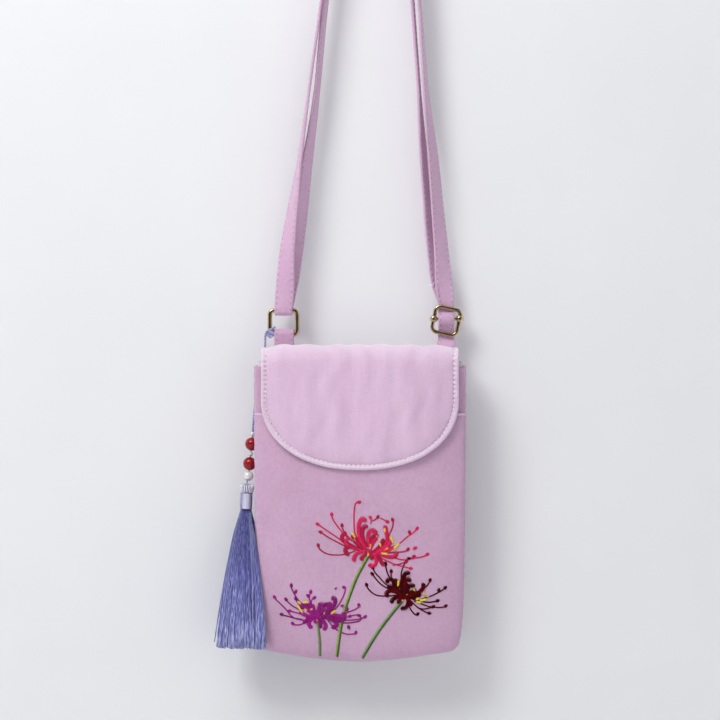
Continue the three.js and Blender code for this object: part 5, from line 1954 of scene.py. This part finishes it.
def round_ends(at, total, width, round_off):
    near = min(at, total - at)
    return width * math.sqrt(max(0.08, 1 - (1 - min(1, near / round_off)) ** 2))


def filament_width(at, total):
    """A filament with a wider anther at its outer end."""
    if at < ANTHER_LENGTH:
        return max(FILAMENT_WIDTH, round_ends(at, 2 * ANTHER_LENGTH, FILAMENT_END, ANTHER_ROUND))
    return FILAMENT_WIDTH * (1 - 0.15 * at / total)


def petal_width(at, total):
    swell = 1.2 - 0.35 * min(1, at / total)
    return round_ends(at, 4 * total, PETAL_WIDTH * swell, PETAL_ROUND)


def accent_width(at, total):
    return round_ends(at, total, ACCENT_WIDTH, ACCENT_ROUND)


def make_embroidery(pocket):
    """Each flower's petals and filaments in two tones, every other one in a darker copy of the thread as
    painted shade between the petals, yellow accents and a stem in two tones.
    """
    tree = tree_of(pocket)
    for name, flower in FLOWERS.items():
        tones, accents = ([], []), []
        # Every other filament and petal goes to the darker copy: painted shade between the petals.
        for i, line in enumerate(flower["filaments"]):
            tones[i % 2].extend(satin(tree, line, filament_width, 0.01 * MM * (i % 5), FILAMENT_SLANT))
        for i, line in enumerate(flower["petals"]):
            lift = (0.1 + 0.05 * (i % 7)) * MM
            tones[i % 2].extend(satin(tree, line, petal_width, lift, PETAL_SLANT))
        for line in flower["accents"]:
            accents += satin(tree, line, accent_width, ACCENT_LIFT, ACCENT_SLANT)
        half = flower["stem_width"] * PHOTO_SCALE / 2
        dark_stem, light_stem = (
            satin(tree, flower["stem"], lambda at, total: half * STEM_OVERLAP, 0, STEM_SLANT, shift)
            for shift in (half / 2, -half / 2)
        )
        petal_thread, petal_shade_thread, stem_light, stem_dark = EMBROIDERY_THREADS[name]
        for part, paths, radius, thread in (
            ("petals", tones[0], SATIN_THREAD, petal_thread),
            ("shade_petals", tones[1], SATIN_THREAD, petal_shade_thread),
            ("accents", accents, SATIN_THREAD, yellow_thread),
            ("stem_light", light_stem, STEM_THREAD, stem_light),
            ("stem_dark", dark_stem, STEM_THREAD, stem_dark),
        ):
            finish(threads(f"{name}_{part}", paths, radius, 4), thread, "lilac_cotton")


# The lining's sleeve in the mouth.
LINING_DEPTH = 26 * MM
LINING_SHOW = 1.5 * MM
LINING_WALL = 1 * MM
LINING_IN = 2 * MM
LINING_ROWS = 60
LINING_STAGES = [0, 24, 30, 54, 60]
LINING_CLOTH = (0.25, 0.06)


def lining_form(u, v):
    """Up the sleeve's outer face, over its rim, down its inner face and round its lower edge."""
    low = 1 - LINING_DEPTH / BAG_HEIGHT
    outer = -(LINING_IN + GAP)
    inner = outer - LINING_WALL
    row = v * LINING_ROWS
    up = np.interp(row, LINING_STAGES, [low, 1, 1, low, low])
    grow = np.interp(row, LINING_STAGES, [outer, outer, inner, inner, outer])
    points = bag_point(up, u * 2 * math.pi, grow)
    top = np.clip((up - low) / (1 - low), 0, 1)
    points[:, 2] += LINING_SHOW * top**6 - 0.55 * rim_dip(up, u * 2 * math.pi)
    return points


def make_lining():
    piece = laid_grid("mouth_sleeve", 120, LINING_ROWS, lining_form, LINING_CLOTH, closed=True)
    return finish(piece, lining_cotton, "pale_lining", "mouth_lining")


# The finishes.
cotton = cloth_material("lilac_cotton", (0.52, 0.315, 0.47), (0.71, 0.475, 0.66))
strap_cotton = cloth_material("lilac_strap_cotton", (0.55, 0.32, 0.49), (0.78, 0.53, 0.73))
lining_cotton = cloth_material("pale_lining_cotton", (0.72, 0.69, 0.73), (0.86, 0.84, 0.87), 2600,
                               mottle=40.0)
gold = gold_material()
lilac_thread = thread_material("lilac_sewing_thread", (0.6, 0.42, 0.57), (0.82, 0.67, 0.8))
# The flap's cotton is a lighter copy of the body's cotton: painted light on the flap, which faces up into
# the light. It also has more sheen, a coarser mottle and the pale mix for wear and a painted highlight.
lit_flap_cotton = cloth_material("lilac_flap_cotton_lit", (0.6, 0.39, 0.57), (0.86, 0.63, 0.83), sheen=1.0,
                             mottle=60.0, grain=(1.6, 0.5, 0.3), worn_and_lit_tone=(0.94, 0.8, 0.93))
white_thread = thread_material("white_thread", (0.75, 0.74, 0.76), (0.92, 0.91, 0.93))
cord_thread = thread_material("blue_lilac_cord", (0.13, 0.12, 0.36), (0.36, 0.35, 0.66), 0.45)
hole_shade = thread_material("needle_hole_shade", (0.1, 0.045, 0.09), (0.2, 0.1, 0.18), 0.9)
pale_lilac_thread = thread_material("pale_lilac_thread", (0.85, 0.72, 0.83), (0.98, 0.93, 0.97))
# The neck's winding takes a painted highlight along its crests.
head_thread = thread_material("satin_binding", (0.13, 0.13, 0.36), (0.36, 0.36, 0.64), 0.26,
                              gloss=0.9, crest_highlight=(0.86, 0.87, 0.97))
pale_cord = thread_material("pale_cord_ply", (0.26, 0.27, 0.46), (0.6, 0.61, 0.8), 0.4)
# Painted shade: the head's core is near black, so the gaps between its ribs and winding read as shadow.
head_shade = thread_material("binding_shade", (0.04, 0.04, 0.13), (0.1, 0.1, 0.26))
# The head's ribs take a painted highlight along their crests.
silver_thread = thread_material("silver_thread", (0.3, 0.31, 0.5), (0.7, 0.72, 0.86), 0.22,
                                gloss=0.8, crest_highlight=(0.95, 0.95, 0.99))
yellow_thread = thread_material("yellow_thread", (0.8, 0.58, 0.03), (1.0, 0.86, 0.1))
# Each flower's petal thread, a darker copy of it that paints the shade between petals, and two stem threads.
EMBROIDERY_THREADS = {
    "crimson": (
        thread_material("crimson_thread", (0.55, 0.004, 0.06), (0.9, 0.02, 0.16), 0.6),
        thread_material("crimson_shade_thread", (0.34, 0.0, 0.03), (0.66, 0.004, 0.09), 0.6),
        thread_material("leaf_thread", (0.2, 0.3, 0.05), (0.46, 0.58, 0.16)),
        thread_material("leaf_dark_thread", (0.03, 0.085, 0.006), (0.1, 0.19, 0.02)),
    ),
    "magenta": (
        thread_material("magenta_thread", (0.22, 0.0, 0.15), (0.55, 0.002, 0.38), 0.6),
        thread_material("magenta_shade_thread", (0.15, 0.0, 0.09), (0.42, 0.0, 0.27), 0.6),
        thread_material("olive_thread", (0.17, 0.26, 0.09), (0.34, 0.46, 0.2)),
        thread_material("olive_dark_thread", (0.08, 0.15, 0.04), (0.17, 0.27, 0.09)),
    ),
    "maroon": (
        thread_material("maroon_thread", (0.06, 0.0, 0.001), (0.17, 0.0, 0.004), 0.65, 0.0, 0.1),
        thread_material("maroon_shade_thread", (0.025, 0.0, 0.001), (0.09, 0.0, 0.002), 0.65, 0.0, 0.1),
        thread_material("moss_thread", (0.16, 0.28, 0.09), (0.38, 0.52, 0.24)),
        thread_material("moss_dark_thread", (0.035, 0.09, 0.015), (0.08, 0.17, 0.03)),
    ),
}
clear_glass = bead_material("clear_glass", (0.78, 0.8, 0.86), (0.95, 0.96, 0.98), 0.12, 0.8, 900.0, 0.35)
red_stone = bead_material("red_stone", (0.2, 0.0, 0.004), (0.34, 0.0, 0.01), 0.2, 0.35, 120.0, gloss=0.25)
pearl_lustre = bead_material("pearl_lustre", (0.6, 0.58, 0.56), (0.86, 0.84, 0.82), 0.14, 1.0, gloss=0.8)
BEAD_FINISH = {"clear_bead": clear_glass, "red_bead": red_stone, "pearl": pearl_lustre}
silk_thread = silk_material("periwinkle_silk", (0.03, 0.034, 0.17), (0.66, 0.7, 0.96), (0.16, 0.17, 0.5))
# A darker copy of the silk for the inner threads: painted shade inside the skirt.
inner_silk_shade = silk_material("periwinkle_silk_inner_shade", (0.05, 0.05, 0.19), (0.2, 0.21, 0.5), (0.1, 0.11, 0.33))
wall_paint = stage_material("wall_paint", (0.8, 0.81, 0.83), one_sided=True)
floor_paint = stage_material("floor_paint", (0.8, 0.8, 0.81))

make_camera()
make_stage()
make_world()
make_pouch()
pocket_swell = cloth_swell(34, 42, pocket_form, pocket_sewn, 1, POCKET_SWELL)
flap_swell = cloth_swell(34, 34, flap_form, flap_sewn, -1, FLAP_SWELL)
pocket_piece = make_pocket()
make_lining()
make_flap()
make_flap_stitches()
make_hem()
make_embroidery(pocket_piece)
make_thread_end(make_strap())
make_tab()
make_metal()
make_cord()
make_beads()
make_head()
make_skirt()
